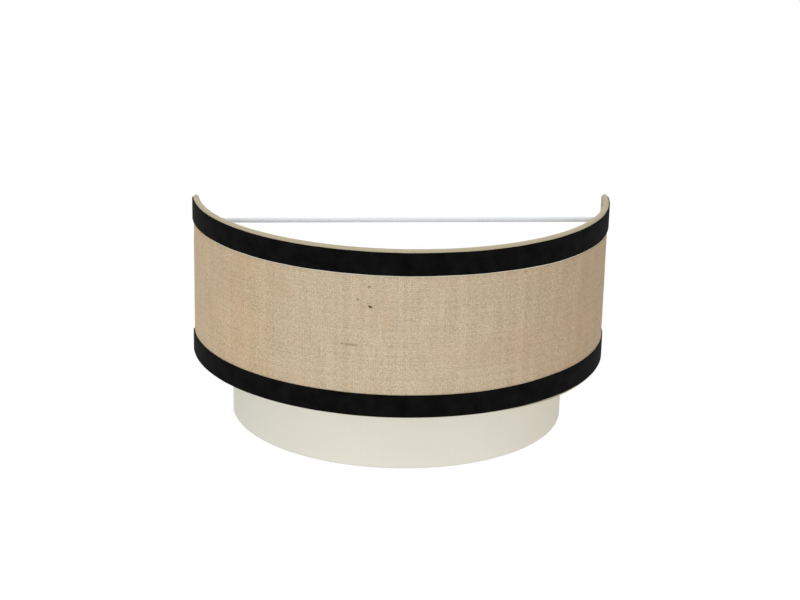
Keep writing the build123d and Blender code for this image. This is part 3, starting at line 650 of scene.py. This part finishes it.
def weave(tree, pitch, wobble):
    """A plain weave on the flat cloth: the threads' counts, heights and own numbers."""
    flat = add_node(tree, "ShaderNodeUVMap", uv_map=CLOTH_MAP)
    drift = add_node(
        tree, "ShaderNodeTexNoise", {"Vector": flat, "Scale": 1 / (DRIFT_LENGTH * pitch), "Detail": 2.0}
    )
    bent = add_node(
        tree,
        "ShaderNodeVectorMath",
        {0: drift.outputs["Color"], 1: (wobble * pitch,) * 3, 2: flat},
        operation="MULTIPLY_ADD",
    )
    count = add_node(tree, "ShaderNodeVectorMath", {0: bent, 1: (pitch, pitch, 1.0)}, operation="DIVIDE")
    number = add_node(tree, "ShaderNodeVectorMath", {0: count}, operation="FLOOR")
    half_turns = add_node(tree, "ShaderNodeVectorMath", {0: count, 1: (math.pi,) * 3}, operation="MULTIPLY")
    swing = add_node(tree, "ShaderNodeVectorMath", {0: half_turns}, operation="SINE")
    swings = add_node(tree, "ShaderNodeSeparateXYZ", {0: swing})
    crossing = add_node(
        tree, "ShaderNodeMath", {0: swings.outputs["X"], 1: swings.outputs["Y"]}, operation="MULTIPLY"
    )
    heights = []
    for axis, lift in (("X", THREAD_LIFT), ("Y", -THREAD_LIFT)):
        roundness = add_node(tree, "ShaderNodeMath", {0: swings.outputs[axis]}, operation="ABSOLUTE")
        over = add_node(
            tree, "ShaderNodeMath", {0: crossing, 1: lift, 2: 1 - THREAD_LIFT}, operation="MULTIPLY_ADD"
        )
        heights.append(add_node(tree, "ShaderNodeMath", {0: roundness, 1: over}, operation="MULTIPLY"))
    height = add_node(tree, "ShaderNodeMath", {0: heights[0], 1: heights[1]}, operation="MAXIMUM")
    upright = add_node(tree, "ShaderNodeMath", {0: heights[0], 1: heights[1]}, operation="GREATER_THAN")
    numbers = add_node(tree, "ShaderNodeSeparateXYZ", {0: number})
    warp = add_node(
        tree, "ShaderNodeTexWhiteNoise", {"W": numbers.outputs["X"]}, noise_dimensions="1D"
    )
    weft_number = add_node(
        tree, "ShaderNodeMath", {0: numbers.outputs["Y"], 1: WEFT_SEED}, operation="ADD"
    )
    weft = add_node(tree, "ShaderNodeTexWhiteNoise", {"W": weft_number}, noise_dimensions="1D")
    own = add_node(
        tree,
        "ShaderNodeMix",
        {0: upright, 2: weft.outputs["Value"], 3: warp.outputs["Value"]},
        data_type="FLOAT",
    )
    return {"flat": flat, "count": count, "height": height, "own": own, "upright": upright}


# Painted shade and tint along a cloth, for how the light falls off round the drum: where they start and are
# full, as shares of its length, and the colour
# Jute: painted shade, darker and warmer towards both ends, most to the right
JUTE_PAINTED_SHADE = ((0.48, 0.84, "EAE1D7"), (0.36, 0.22, "FCF6ED"))
# Cream: painted shade, a little darker towards both ends and warmer towards the right
CREAM_PAINTED_SHADE = ((0.62, 0.84, "FBF8F2"), (0.42, 0.15, "F7F7F8"))


def painted_shade_along(tree, flat, face, length, tones):
    """Multiplies a cloth's colour by tones that grow along it: painted shade and tint for how the light falls
    off round the drum.
    """
    across = add_node(tree, "ShaderNodeSeparateXYZ", {0: flat})
    for start, full, tone in tones:
        share = add_node(
            tree,
            "ShaderNodeMapRange",
            {"Value": across.outputs["X"], "From Min": start * length, "From Max": full * length},
            interpolation_type="SMOOTHSTEP",
        )
        face = add_node(
            tree,
            "ShaderNodeMix",
            {0: share, 6: face, 7: linear(tone)},
            data_type="RGBA",
            blend_type="MULTIPLY",
        )
    return face


def jute_material(settings, length):
    """Woven jute, laminated flat. Uneven dry yarn gives a grainy, softly mottled face."""
    material, tree, shader = new_material(
        "woven_jute", Roughness=0.92, Specular_IOR_Level=0.12, Sheen_Weight=0.08, Sheen_Roughness=0.5
    )
    threads = weave(tree, settings.jute_pitch, wobble=0.6)
    # Fibre streaks lie along each thread and last for two or three crossings
    fibres = []
    for stretch in ((1.7, 0.5, 1.0), (0.5, 1.7, 1.0)):
        run = add_node(tree, "ShaderNodeVectorMath", {0: threads["count"], 1: stretch}, operation="MULTIPLY")
        streaks = {"Vector": run, "Scale": 1.0, "Detail": 2.0, "Roughness": 0.6}
        fibres.append(add_node(tree, "ShaderNodeTexNoise", streaks))
    fibre = add_node(
        tree, "ShaderNodeMix", {0: threads["upright"], 2: fibres[1], 3: fibres[0]}, data_type="FLOAT"
    )
    blend = add_node(
        tree, "ShaderNodeMath", {0: threads["own"], 1: 0.09, 2: fibre}, operation="MULTIPLY_ADD"
    )
    pale_share = add_node(
        tree, "ShaderNodeMapRange", {"Value": blend, "From Min": 0.38, "From Max": 0.71}
    )
    thread_colour = add_node(
        tree,
        "ShaderNodeMix",
        {0: pale_share, 6: settings.jute_dark, 7: settings.jute_pale},
        data_type="RGBA",
    )
    # Natural yarn varies in patches: how many to the metre, where they fade in, and how strong
    face = thread_colour
    for scale, low, high, most, colour in (
        (26.0, 0.45, 0.72, 0.32, settings.jute_pink),
        (41.0, 0.50, 0.78, 0.25, settings.jute_green),
    ):
        patch = add_node(
            tree, "ShaderNodeTexNoise", {"Vector": threads["flat"], "Scale": scale, "Detail": 3.0}
        )
        share = add_node(
            tree,
            "ShaderNodeMapRange",
            {"Value": patch, "From Min": low, "From Max": high, "To Max": most},
        )
        face = add_node(tree, "ShaderNodeMix", {0: share, 6: face, 7: colour}, data_type="RGBA")
    # Bands of closer and looser yarn run up the cloth, some 10 mm wide and 40 mm long
    upright = add_node(
        tree, "ShaderNodeVectorMath", {0: threads["flat"], 1: (90.0, 24.0, 1.0)}, operation="MULTIPLY"
    )
    bands = add_node(tree, "ShaderNodeTexNoise", {"Vector": upright, "Scale": 1.0, "Detail": 2.0})
    level = add_node(
        tree,
        "ShaderNodeMapRange",
        {"Value": bands, "From Min": 0.3, "From Max": 0.7, "To Min": 0.95, "To Max": 1.05},
    )
    face = add_node(tree, "ShaderNodeVectorMath", {0: face, "Scale": level}, operation="SCALE")
    # Painted shade: the cloth is darker and warmer towards both ends, most to the right, where the light
    # falls off round the drum
    face = painted_shade_along(tree, threads["flat"], face, length, JUTE_PAINTED_SHADE)
    # The gaps between threads lie in shade
    gap = add_node(
        tree,
        "ShaderNodeMapRange",
        {"Value": threads["height"], "From Max": 0.55, "To Min": 0.7, "To Max": 1.0},
    )
    shaded = add_node(tree, "ShaderNodeVectorMath", {0: face, "Scale": gap}, operation="SCALE")
    connect(tree, shaded, shader.inputs["Base Color"])
    relief = add_node(
        tree, "ShaderNodeMath", {0: fibre, 1: 0.5, 2: threads["height"]}, operation="MULTIPLY_ADD"
    )
    bump = add_node(tree, "ShaderNodeBump", {"Height": relief, "Strength": 0.7, "Distance": 0.3 * MM})
    connect(tree, bump, shader.inputs["Normal"])
    return material


def cotton_material(name, colour, pitch, depth, relief, length=1.0, tones=()):
    """Plain cotton. A fine even weave gives a soft matt face with faint thread-to-thread change."""
    material, tree, shader = new_material(
        name, Roughness=0.88, Specular_IOR_Level=0.2, Sheen_Weight=0.1, Sheen_Roughness=0.4
    )
    threads = weave(tree, pitch, wobble=0.5)
    cloud = add_node(
        tree, "ShaderNodeTexNoise", {"Vector": threads["flat"], "Scale": 18.0, "Detail": 3.0}
    )
    tone = add_node(tree, "ShaderNodeMath", {0: threads["own"], 1: 0.4, 2: cloud}, operation="MULTIPLY_ADD")
    share = add_node(
        tree,
        "ShaderNodeMapRange",
        {"Value": tone, "From Min": 0.3, "From Max": 1.1, "To Min": 1.0 - depth, "To Max": 1.0 + depth},
    )
    face = add_node(
        tree, "ShaderNodeVectorMath", {0: tuple(colour)[:3], "Scale": share}, operation="SCALE"
    )
    # Painted shade along the cloth, where tones are given
    face = painted_shade_along(tree, threads["flat"], face, length, tones)
    connect(tree, face, shader.inputs["Base Color"])
    bump = add_node(
        tree, "ShaderNodeBump", {"Height": threads["height"], "Strength": relief, "Distance": 0.12 * MM}
    )
    connect(tree, bump, shader.inputs["Normal"])
    return material


def velvet_material(settings):
    """Cotton velvet ribbon. Upright black pile drinks the light and greys only where seen edge-on."""
    material, tree, shader = new_material(
        "black_cotton_velvet",
        Roughness=1.0,
        Specular_IOR_Level=0.02,
        Sheen_Weight=0.09,
        Sheen_Roughness=0.45,
        Sheen_Tint=settings.velvet_sheen,
    )
    flat = add_node(tree, "ShaderNodeUVMap", uv_map=CLOTH_MAP)
    # Painted sheen: the pile leans this way and that in patches 5 to 20 mm across, and those patches are
    # painted lighter in the base colour for the sheen they catch
    lean = add_node(
        tree, "ShaderNodeTexNoise", {"Vector": flat, "Scale": 70.0, "Detail": 4.0, "Roughness": 0.6}
    )
    share = add_node(
        tree,
        "ShaderNodeMapRange",
        {"Value": lean, "From Min": 0.35, "From Max": 0.75, "To Min": 0.8, "To Max": 2.4},
    )
    toned = add_node(
        tree, "ShaderNodeVectorMath", {0: tuple(settings.velvet)[:3], "Scale": share}, operation="SCALE"
    )
    connect(tree, toned, shader.inputs["Base Color"])
    # The pile itself, drawn as tufts 0.45 mm across
    pile = add_node(tree, "ShaderNodeTexNoise", {"Vector": flat, "Scale": 2200.0, "Detail": 2.0})
    bump = add_node(tree, "ShaderNodeBump", {"Height": pile, "Strength": 0.6, "Distance": 0.2 * MM})
    connect(tree, bump, shader.inputs["Normal"])
    return material


# ---- Stage ----

# Soft lamps: degrees round from the front and up, width in degrees, share of a plain level
LAMPS = (
    ("key_light", -12, 4, 30, 0.33),
    ("left_fill", -68, 4, 60, 0.22),
    ("right_fill", 68, 4, 60, 0.22),
    ("back_fill", 180, 20, 60, 0.30),
    ("top_light", 0, 85, 70, 0.35),
)


def towards(azimuth, elevation):
    """Direction from the object, by angles round from its front and up."""
    flat = math.cos(elevation)
    return Vector((math.sin(azimuth) * flat, -math.cos(azimuth) * flat, math.sin(elevation)))


def seen_directly(tree):
    """1 for rays from the camera, a reflection or through glass, which see the white surround."""
    path = add_node(tree, "ShaderNodeLightPath")
    share = path.outputs["Is Camera Ray"]
    for kind in ("Is Glossy Ray", "Is Transmission Ray"):
        share = add_node(tree, "ShaderNodeMath", {0: share, 1: path.outputs[kind]}, operation="MAXIMUM")
    return share


# ---- Operators ----


class WALLLIGHT_OT_outer_cloth(bpy.types.Operator):
    """Wraps the outer frame in jute, with the bark in its yarn and the adhesive line on it"""

    bl_idname = "walllight.outer_cloth"
    bl_label = "Outer Cloth"

    def execute(self, context):
        settings = context.scene.walllight_shade
        drum = Drum("outer", settings.axis_y)
        skin, flat = rolled_cloth("jute_cloth", drum, settings)
        settle(skin, "shade", "jute_cloth", jute_material(settings, flat[1]), "outer_cloth")
        lumps = [
            self.bark("jute_slub", drum, SLUBS, settings.slub_colour),
            self.bark("jute_knots", drum, KNOTS, settings.knot_colour),
            self.bark("jute_tufts", drum, TUFTS, settings.tuft_colour),
        ]
        self.adhesive(drum, settings)
        return {"FINISHED"}

    def bark(self, name, drum, places, colour):
        """Bark that was left in the yarn: dull and dry, dark where it is thick."""
        piece = join([slub(drum, *place) for place in places], name)
        smooth(piece, 80)
        material = plain_material(
            f"{name}_bark", colour,
            roughness=0.95, grain=0.5 * MM, relief=0.05 * MM, spread=0.3,
        )
        return settle(piece, "shade", "jute_cloth", material)

    def adhesive(self, drum, settings):
        """Adhesive pressed out under the upper ribbon: a thin pale line with a slight gloss."""
        low, high = (corner.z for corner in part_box("upper_ribbon"))
        away = drum.cloth_out + 0.5 * settings.glue_t
        profile = section([(away, low - settings.glue_width), (away, low + settings.glue_width)])
        line = join([strip("glue", drum.plan(away, turn=settings.ribbon_turn), profile)], "glue_line")
        stray(line, drum, high, low, -settings.ribbon_stray)
        apply_modifier(line, "SOLIDIFY", thickness=settings.glue_t, offset=0)
        smooth(line, 60)
        material = plain_material(
            "dried_adhesive", settings.glue_colour,
            roughness=0.45, grain=0.8 * MM, relief=0.03 * MM, spread=0.06,
        )
        return settle(line, "shade", "jute_cloth", material)


class WALLLIGHT_OT_inner_cloth(bpy.types.Operator):
    """Wraps the inner frame in cream cotton"""

    bl_idname = "walllight.inner_cloth"
    bl_label = "Inner Cloth"

    def execute(self, context):
        settings = context.scene.walllight_shade
        drum = Drum("inner", settings.axis_y)
        skin, flat = rolled_cloth("cream_cotton", drum, settings)
        material = cotton_material(
            "cream_cotton",
            settings.cream,
            settings.cotton_pitch,
            depth=0.02,
            relief=0.15,
            length=flat[1],
            tones=CREAM_PAINTED_SHADE,
        )
        settle(skin, "shade", "cream_cloth", material, "inner_cloth")
        return {"FINISHED"}


class WALLLIGHT_OT_bindings(bpy.types.Operator):
    """Rolls the beige binding over the outer cloth's top and bottom edges"""

    bl_idname = "walllight.bindings"
    bl_label = "Edge Bindings"

    def execute(self, context):
        settings = context.scene.walllight_shade
        drum = Drum("outer", settings.axis_y)
        material = cotton_material(
            "beige_bias_binding", settings.binding, settings.tape_pitch, depth=0.05, relief=0.15
        )
        away = drum.cloth_out + settings.binding_t / 2
        flap = settings.flap + settings.binding_lap
        plan = drum.plan(away, flap=flap)
        inside = drum.plan_inside(away, flap)
        for name, up in (("upper", 1), ("lower", -1)):
            low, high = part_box(f"{name}_ribbon")
            ring_z, leg_z = (drum.high, low.z) if up > 0 else (drum.low, high.z)
            if up > 0:
                outside = [(away, leg_z)] + wall(leg_z, ring_z, away) + arc(away, ring_z, 0, 90)
            else:
                outside = arc(away, ring_z, -90, 0) + wall(ring_z, leg_z, away) + [(away, leg_z)]
            rolled = tuck(drum, away, up, settings, settings.binding_t)
            rise = up * settings.binding_rise
            outside, rolled = (proud(points, ring_z, rise) for points in (outside, rolled))
            outside, rolled = section(outside), section(rolled)
            start = outside[-1][1] if up > 0 else -rolled[-1][1]
            piece = join(
                [strip(name, plan, outside), strip(name, inside, rolled, start=start)],
                f"binding_tape_{name}",
            )
            stray(piece, drum, ring_z, leg_z, -up * settings.ribbon_stray)
            if up < 0:
                stray(piece, drum, ring_z, ring_z - away, -settings.binding_stray)
            apply_modifier(piece, "SOLIDIFY", thickness=settings.binding_t, offset=0)
            smooth(piece, 60)
            settle(piece, "shade", "beige_binding", material, f"{name}_binding")
        return {"FINISHED"}


class WALLLIGHT_OT_ribbons(bpy.types.Operator):
    """Lays the black velvet ribbons round both edges of the outer shade"""

    bl_idname = "walllight.ribbons"
    bl_label = "Velvet Ribbons"

    def execute(self, context):
        settings = context.scene.walllight_shade
        drum = Drum("outer", settings.axis_y)
        material = velvet_material(settings)
        away = drum.cloth_out + settings.binding_t + settings.ribbon_t / 2
        plan = drum.plan(away, turn=settings.ribbon_turn)
        for name, up in (("upper", 1), ("lower", -1)):
            low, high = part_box(f"{name}_ribbon")
            held, free = (high.z, low.z) if up > 0 else (low.z, high.z)
            points = [(away, low.z)] + wall(low.z, high.z, away, spacing=1.5 * MM) + [(away, high.z)]
            piece = join([strip(name, plan, section(points))], f"velvet_ribbon_{name}")
            own = 0.3 * low.z  # Each ribbon wanders in its own way
            for vertex in piece.data.vertices:
                across = (vertex.co.z - low.z) / (high.z - low.z)
                place = Vector((vertex.co.x, vertex.co.y, own)) / settings.ribbon_wave
                vertex.co.z += settings.ribbon_wander * noise.noise(place) * abs(2 * across - 1)
            stray(piece, drum, held, free, -up * settings.ribbon_stray)
            apply_modifier(piece, "SOLIDIFY", thickness=settings.ribbon_t, offset=0)
            apply_modifier(
                piece, "BEVEL", width=settings.ribbon_edge, segments=2, limit_method="ANGLE"
            )
            smooth(piece, 60)
            settle(piece, "shade", "black_velvet", material, f"{name}_ribbon")
        return {"FINISHED"}


class WALLLIGHT_OT_frames(bpy.types.Operator):
    """Coats the wire frames, their rods and the lining sheets"""

    bl_idname = "walllight.frames"
    bl_label = "Wire Frames"

    def execute(self, context):
        fittings = context.scene.walllight_fittings
        shade = context.scene.walllight_shade
        # Epoxy powder baked on wire: a soft gloss over a faint orange peel
        wire = plain_material(
            "powder_coated_wire", fittings.wire_coat,
            roughness=0.38, grain=1.6 * MM, relief=0.02 * MM, spread=0.01,
            Coat_Weight=0.15, Coat_Roughness=0.25,
        )
        rings = [f"{drum}_{end}_ring" for drum in ("outer", "inner") for end in ("top", "bottom")]
        rods = ("upper_spreader_rod", "upper_link_rods", "lower_link_rods", "hanger_crossbar")
        dress(wire, "outer_uprights", "inner_uprights", *rings, *rods)
        # Calendered PVC sheet: smooth, milky and nearly matt
        sheet = plain_material(
            "pvc_lining", shade.lining,
            roughness=0.6, grain=2.5 * MM, relief=0.05 * MM, spread=0.015,
        )
        dress(sheet, "outer_liner", "inner_liner")
        return {"FINISHED"}


class WALLLIGHT_OT_wall_unit(bpy.types.Operator):
    """Finishes the wall unit: strap, cover, hooks, arm, terminals and wiring"""

    bl_idname = "walllight.wall_unit"
    bl_label = "Wall Unit"

    def execute(self, context):
        fittings = context.scene.walllight_fittings
        # Powder-coated pressed steel: satin white with an orange peel about 2 mm across
        coat = plain_material(
            "powder_coated_steel", fittings.coat,
            roughness=0.35, grain=2.0 * MM, relief=0.06 * MM, spread=0.02,
            Coat_Weight=0.2, Coat_Roughness=0.2,
        )
        dress(coat, "canopy", "hook_plates", "lamp_arm")
        # Clear-passivated zinc plate: a cool, slightly cloudy metal
        zinc = plain_material(
            "zinc_plated_steel", fittings.zinc,
            roughness=0.42, grain=0.7 * MM, relief=0.03 * MM, spread=0.14,
            Metallic=1.0,
        )
        dress(zinc, "wall_strap", "canopy_screws", "earth_screw", "nipple_nuts")
        # Brass strip, rolled and bent: warm and softly shiny
        brass = plain_material(
            "rolled_brass", fittings.brass,
            roughness=0.28, grain=0.5 * MM, relief=0.02 * MM, spread=0.08,
            Metallic=1.0,
        )
        dress(brass, "centre_contact")
        # Moulded polyamide: translucent white with soft edges
        block = plain_material(
            "moulded_polyamide", fittings.plastic,
            roughness=0.45, grain=1.2 * MM, relief=0.03 * MM, spread=0.02,
        )
        dress(block, "terminal_block")
        self.wiring(fittings)
        self.nipple(fittings, zinc)
        self.terminal_screws(fittings, zinc)
        return {"FINISHED"}

    def wiring(self, fittings):
        """The lamp cable and the three cores at the terminals."""
        # Extruded PVC: waxy, with a very fine drawn grain
        sheath = plain_material(
            "pvc_sheath", fittings.sheath,
            roughness=0.42, grain=0.6 * MM, relief=0.02 * MM, spread=0.02,
        )
        dress(sheath, "lamp_cable")
        for name, colour in (("brown", fittings.live), ("blue", fittings.neutral)):
            core = plain_material(
                f"{name}_pvc_insulation", colour,
                roughness=0.4, grain=0.5 * MM, relief=0.02 * MM, spread=0.05,
            )
            dress(core, f"{name}_lead")
        middle_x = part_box("earth_lead")[0].x + fittings.core_r
        stripe = striped_material(
            "green_yellow_pvc_insulation",
            fittings.earth_green,
            fittings.earth_yellow,
            fittings.core_r,
            middle_x,
        )
        dress(stripe, "earth_lead")

    def nipple(self, fittings, material):
        """The lamp tube, with its metric fine thread."""
        low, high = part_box("hollow_nipple")
        middle = Vector(((low.x + high.x) / 2, 0, (low.z + high.z) / 2))
        radius = (high.x - low.x) / 2
        bore, bevel = fittings.nipple_bore, fittings.nipple_bevel
        outline = [(bore, low.y, 0), (radius - bevel, low.y, 0)]
        outline += threaded(radius, low.y + bevel, high.y - bevel, fittings.nipple_pitch)
        outline += [(radius - bevel, high.y, 0), (bore, high.y, 0), (bore, low.y, 0)]
        tube = turned(
            "threaded_tube",
            middle,
            Vector((0, 1, 0)),
            outline,
            fittings.nipple_pitch,
            fittings.nipple_depth,
            facets=48,
        )
        settle(tube, "wall_unit", "zinc_steel", material, "hollow_nipple")

    def terminal_screws(self, fittings, material):
        """Six slotted screws in three columns and two rows: one is modelled, then copied."""
        low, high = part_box("terminal_screws")
        screw_r = fittings.screw_r
        first = Vector((low.x + screw_r, (low.y + high.y) / 2, low.z + screw_r))
        deselect()
        bpy.ops.mesh.primitive_cylinder_add(
            vertices=32, radius=screw_r, depth=high.y - low.y, location=first, rotation=(math.pi / 2, 0, 0)
        )
        screw = bpy.context.object
        bpy.ops.object.transform_apply(location=True, rotation=True, scale=True)
        apply_modifier(screw, "BEVEL", width=fittings.screw_edge, segments=3, limit_method="ANGLE")
        deselect()
        bpy.ops.mesh.primitive_cube_add(size=1, location=(first.x, low.y, first.z))
        cutter = bpy.context.object
        bpy.ops.transform.resize(value=(3 * screw_r, 2 * fittings.slot_depth, fittings.slot_width))
        bpy.ops.object.transform_apply(location=True, rotation=True, scale=True)
        apply_modifier(screw, "BOOLEAN", object=cutter, operation="DIFFERENCE")
        bpy.data.objects.remove(cutter)
        to_column = (high.x - low.x - 2 * screw_r) / 2
        to_row = high.z - low.z - 2 * screw_r
        screws = [screw]
        for place in range(1, 3 * 2):
            column, row = divmod(place, 2)
            other = screw.copy()
            other.data = screw.data.copy()
            bpy.context.collection.objects.link(other)
            for vertex in other.data.vertices:
                vertex.co += Vector((to_column * column, 0, to_row * row))
            screws.append(other)
        piece = join(screws, "slotted_terminal_screws")
        smooth(piece, 30)
        settle(piece, "wall_unit", "zinc_steel", material, "terminal_screws")


class WALLLIGHT_OT_lampholder(bpy.types.Operator):
    """Finishes the lampholder, its threaded skirt and its screw shell"""

    bl_idname = "walllight.lampholder"
    bl_label = "Lampholder"

    def execute(self, context):
        fittings = context.scene.walllight_fittings
        # Moulded PBT: hard, bright white and fairly glossy
        plastic = plain_material(
            "moulded_thermoplastic", fittings.plastic,
            roughness=0.3, grain=1.5 * MM, relief=0.02 * MM, spread=0.015,
            Coat_Weight=0.1,
        )
        dress(plastic, "holder_cap", "holder_ring")
        # Pressed and fired steatite, unglazed: cream, very fine-grained and nearly matt
        steatite = plain_material(
            "fired_steatite", fittings.steatite,
            roughness=0.55, grain=0.8 * MM, relief=0.03 * MM, spread=0.03,
        )
        dress(steatite, "holder_core")
        axis, radius, low, high = round_node("holder_skirt")
        bore, bevel = radius - fittings.skirt_wall, fittings.skirt_bevel
        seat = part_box("holder_ring")[1].z
        outline = [(bore + bevel, low, 0), (radius - bevel, low, 0)]
        outline += threaded(radius, low + bevel, seat, fittings.skirt_pitch)
        outline += [(radius, high, 0), (bore, high, 0), (bore, low + bevel, 0), (bore + bevel, low, 0)]
        skirt = turned(
            "threaded_skirt", axis, UP, outline, fittings.skirt_pitch, fittings.skirt_depth
        )
        settle(skirt, "wall_unit", "white_holder_plastic", plastic, "holder_skirt")
        axis, radius, low, high = round_node("screw_shell")
        outer = threaded(radius, low, high, fittings.cap_pitch)
        inner = [(radius - fittings.shell_wall, place, share) for _, place, share in reversed(outer)]
        outline = outer + inner + outer[:1]
        shell = turned(
            "rolled_screw_shell", axis, UP, outline, fittings.cap_pitch, fittings.shell_depth
        )
        settle(shell, "wall_unit", "nickel_brass", nickel_material(fittings), "screw_shell")
        return {"FINISHED"}


class WALLLIGHT_OT_bulb(bpy.types.Operator):
    """Finishes the opal bulb with its round-threaded cap"""

    bl_idname = "walllight.bulb"
    bl_label = "Bulb"

    def execute(self, context):
        fittings = context.scene.walllight_fittings
        # Opal glass, blown: milky white right through, with a satin skin and a soft highlight
        opal = plain_material(
            "opal_glass", fittings.opal,
            roughness=0.3, grain=6.0 * MM, relief=0.02 * MM, spread=0.01,
            Coat_Weight=0.35, Coat_Roughness=0.18,
        )
        dress(opal, "bulb_globe")
        # Soft solder: dull grey, a little lumpy
        solder = plain_material(
            "soft_solder", fittings.solder,
            roughness=0.45, grain=0.8 * MM, relief=0.1 * MM, spread=0.1,
            Metallic=1.0,
        )
        dress(solder, "bulb_tip")
        axis, radius, low, high = round_node("bulb_cap")
        shoulder, rim = high - fittings.cap_cone, fittings.cap_rim
        face = shoulder + rim
        outline = [(0, low, 0), (radius, low, 0)]
        outline += threaded(radius, low + fittings.cap_collar, shoulder, fittings.cap_pitch, samples=14)
        outline += [(radius - rim, face, 0), (0, face, 0)]
        cap = turned("round_threaded_cap", axis, UP, outline, fittings.cap_pitch, fittings.cap_depth)
        settle(cap, "bulb", "nickel_brass", nickel_material(fittings), "bulb_cap")
        # Black glass insulator in the end of the cap: glossy
        black_glass = plain_material(
            "black_glass", fittings.black_glass,
            roughness=0.12, grain=2.0 * MM, relief=0.02 * MM, spread=0.1,
        )
        _, tip_r, _, _ = round_node("bulb_tip")
        foot_r, edge_r, edge, land = radius - 1.2 * rim, radius - 1.6 * rim, 0.5 * MM, 0.6 * MM
        outline = [(0, face, 0), (foot_r, face, 0), (edge_r, face + edge, 0)]
        outline += [(tip_r + land, high, 0), (0, high, 0)]
        insulator = turned("glass_insulator", axis, UP, outline)
        settle(insulator, "bulb", "opal_glass", black_glass)
        return {"FINISHED"}


class WALLLIGHT_OT_stage(bpy.types.Operator):
    """Adds the floor, the light and the camera"""

    bl_idname = "walllight.stage"
    bl_label = "Stage"

    def execute(self, context):
        stage = context.scene.walllight_stage
        self.floor(stage)
        self.surround(context, stage)
        for name, azimuth, elevation, width, share in LAMPS:
            deselect()
            bpy.ops.object.light_add(type="SUN")
            lamp = context.object
            lamp.name = name
            lamp.data.energy = share * stage.lamp_strength * math.pi
            lamp.data.angle = math.radians(width)
            way = towards(math.radians(azimuth), math.radians(elevation))
            lamp.rotation_euler = way.to_track_quat("Z", "Y").to_euler()
        self.camera(context, stage)
        context.scene.view_settings.view_transform = "Standard"
        return {"FINISHED"}

    def floor(self, stage):
        """A plain pale floor, far below, that the camera sees as white."""
        deselect()
        bpy.ops.mesh.primitive_plane_add(size=stage.floor_size, location=(0, 0, -stage.floor_drop))
        floor = bpy.context.object
        floor.name = "floor"
        material = bpy.data.materials.new("painted_floor")
        material.use_nodes = True
        tree = material.node_tree
        tree.nodes.clear()
        lift = add_node(
            tree, "ShaderNodeMath", {0: seen_directly(tree), 1: stage.floor_glow}, operation="MULTIPLY"
        )
        matt = add_node(tree, "ShaderNodeBsdfDiffuse", {"Color": stage.floor_colour})
        glow = add_node(tree, "ShaderNodeEmission", {"Strength": lift})
        both = add_node(tree, "ShaderNodeAddShader", {0: matt, 1: glow})
        add_node(tree, "ShaderNodeOutputMaterial", {"Surface": both})
        floor.data.materials.append(material)

    def surround(self, context, stage):
        """White to look at, and an even soft light to be lit by."""
        world = bpy.data.worlds.new("white_surround")
        context.scene.world = world
        world.use_nodes = True
        tree = world.node_tree
        tree.nodes.clear()
        strength = add_node(
            tree, "ShaderNodeMix", {0: seen_directly(tree), 2: stage.sky_strength, 3: 1.0}, data_type="FLOAT"
        )
        background = add_node(tree, "ShaderNodeBackground", {"Color": linear("FFFFFF"), "Strength": strength})
        add_node(tree, "ShaderNodeOutputWorld", {"Surface": background})

    def camera(self, context, stage):
        """The photograph's viewpoint."""
        deselect()
        bpy.ops.object.camera_add()
        camera = context.object
        camera.name = "camera"
        camera.data.lens = stage.lens
        camera.data.sensor_width = 36.0
        target = Vector((0, context.scene.walllight_shade.axis_y, cad_box[1][2]))
        place = target + towards(stage.azimuth, stage.elevation) * stage.distance
        away = towards(stage.aim_azimuth, stage.aim_elevation)
        right = (-away).cross(UP).normalized()
        level = Matrix((right, away.cross(right), away)).transposed()
        turned_level = level @ Matrix.Rotation(stage.roll, 3, "Z")
        camera.matrix_world = Matrix.Translation(place) @ turned_level.to_4x4()
        camera.data.clip_start = 0.01
        camera.data.clip_end = 100.0
        context.scene.camera = camera


class WALLLIGHT_PT_panel(bpy.types.Panel):
    """Lists the steps that dress the wall light"""

    bl_label = "Wall Light"
    bl_idname = "WALLLIGHT_PT_panel"
    bl_space_type = "VIEW_3D"
    bl_region_type = "UI"
    bl_category = "Wall Light"

    def draw(self, context):
        for operator in OPERATORS:
            self.layout.operator(operator.bl_idname)


SETTINGS = {
    "walllight_shade": ShadeSettings,
    "walllight_fittings": FittingSettings,
    "walllight_stage": StageSettings,
}
OPERATORS = (
    WALLLIGHT_OT_outer_cloth,
    WALLLIGHT_OT_inner_cloth,
    WALLLIGHT_OT_bindings,
    WALLLIGHT_OT_ribbons,
    WALLLIGHT_OT_frames,
    WALLLIGHT_OT_wall_unit,
    WALLLIGHT_OT_lampholder,
    WALLLIGHT_OT_bulb,
    WALLLIGHT_OT_stage,
)


def register():
    for cls in (*SETTINGS.values(), *OPERATORS, WALLLIGHT_PT_panel):
        bpy.utils.register_class(cls)
    for name, group in SETTINGS.items():
        setattr(bpy.types.Scene, name, PointerProperty(type=group))


def unregister():
    for name in SETTINGS:
        delattr(bpy.types.Scene, name)
    for cls in (WALLLIGHT_PT_panel, *reversed(OPERATORS), *SETTINGS.values()):
        bpy.utils.unregister_class(cls)


def main():
    """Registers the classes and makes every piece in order."""
    register()
    bpy.ops.walllight.outer_cloth()
    bpy.ops.walllight.inner_cloth()
    bpy.ops.walllight.bindings()
    bpy.ops.walllight.ribbons()
    bpy.ops.walllight.frames()
    bpy.ops.walllight.wall_unit()
    bpy.ops.walllight.lampholder()
    bpy.ops.walllight.bulb()
    bpy.ops.walllight.stage()


if __name__ == "__main__":
    main()
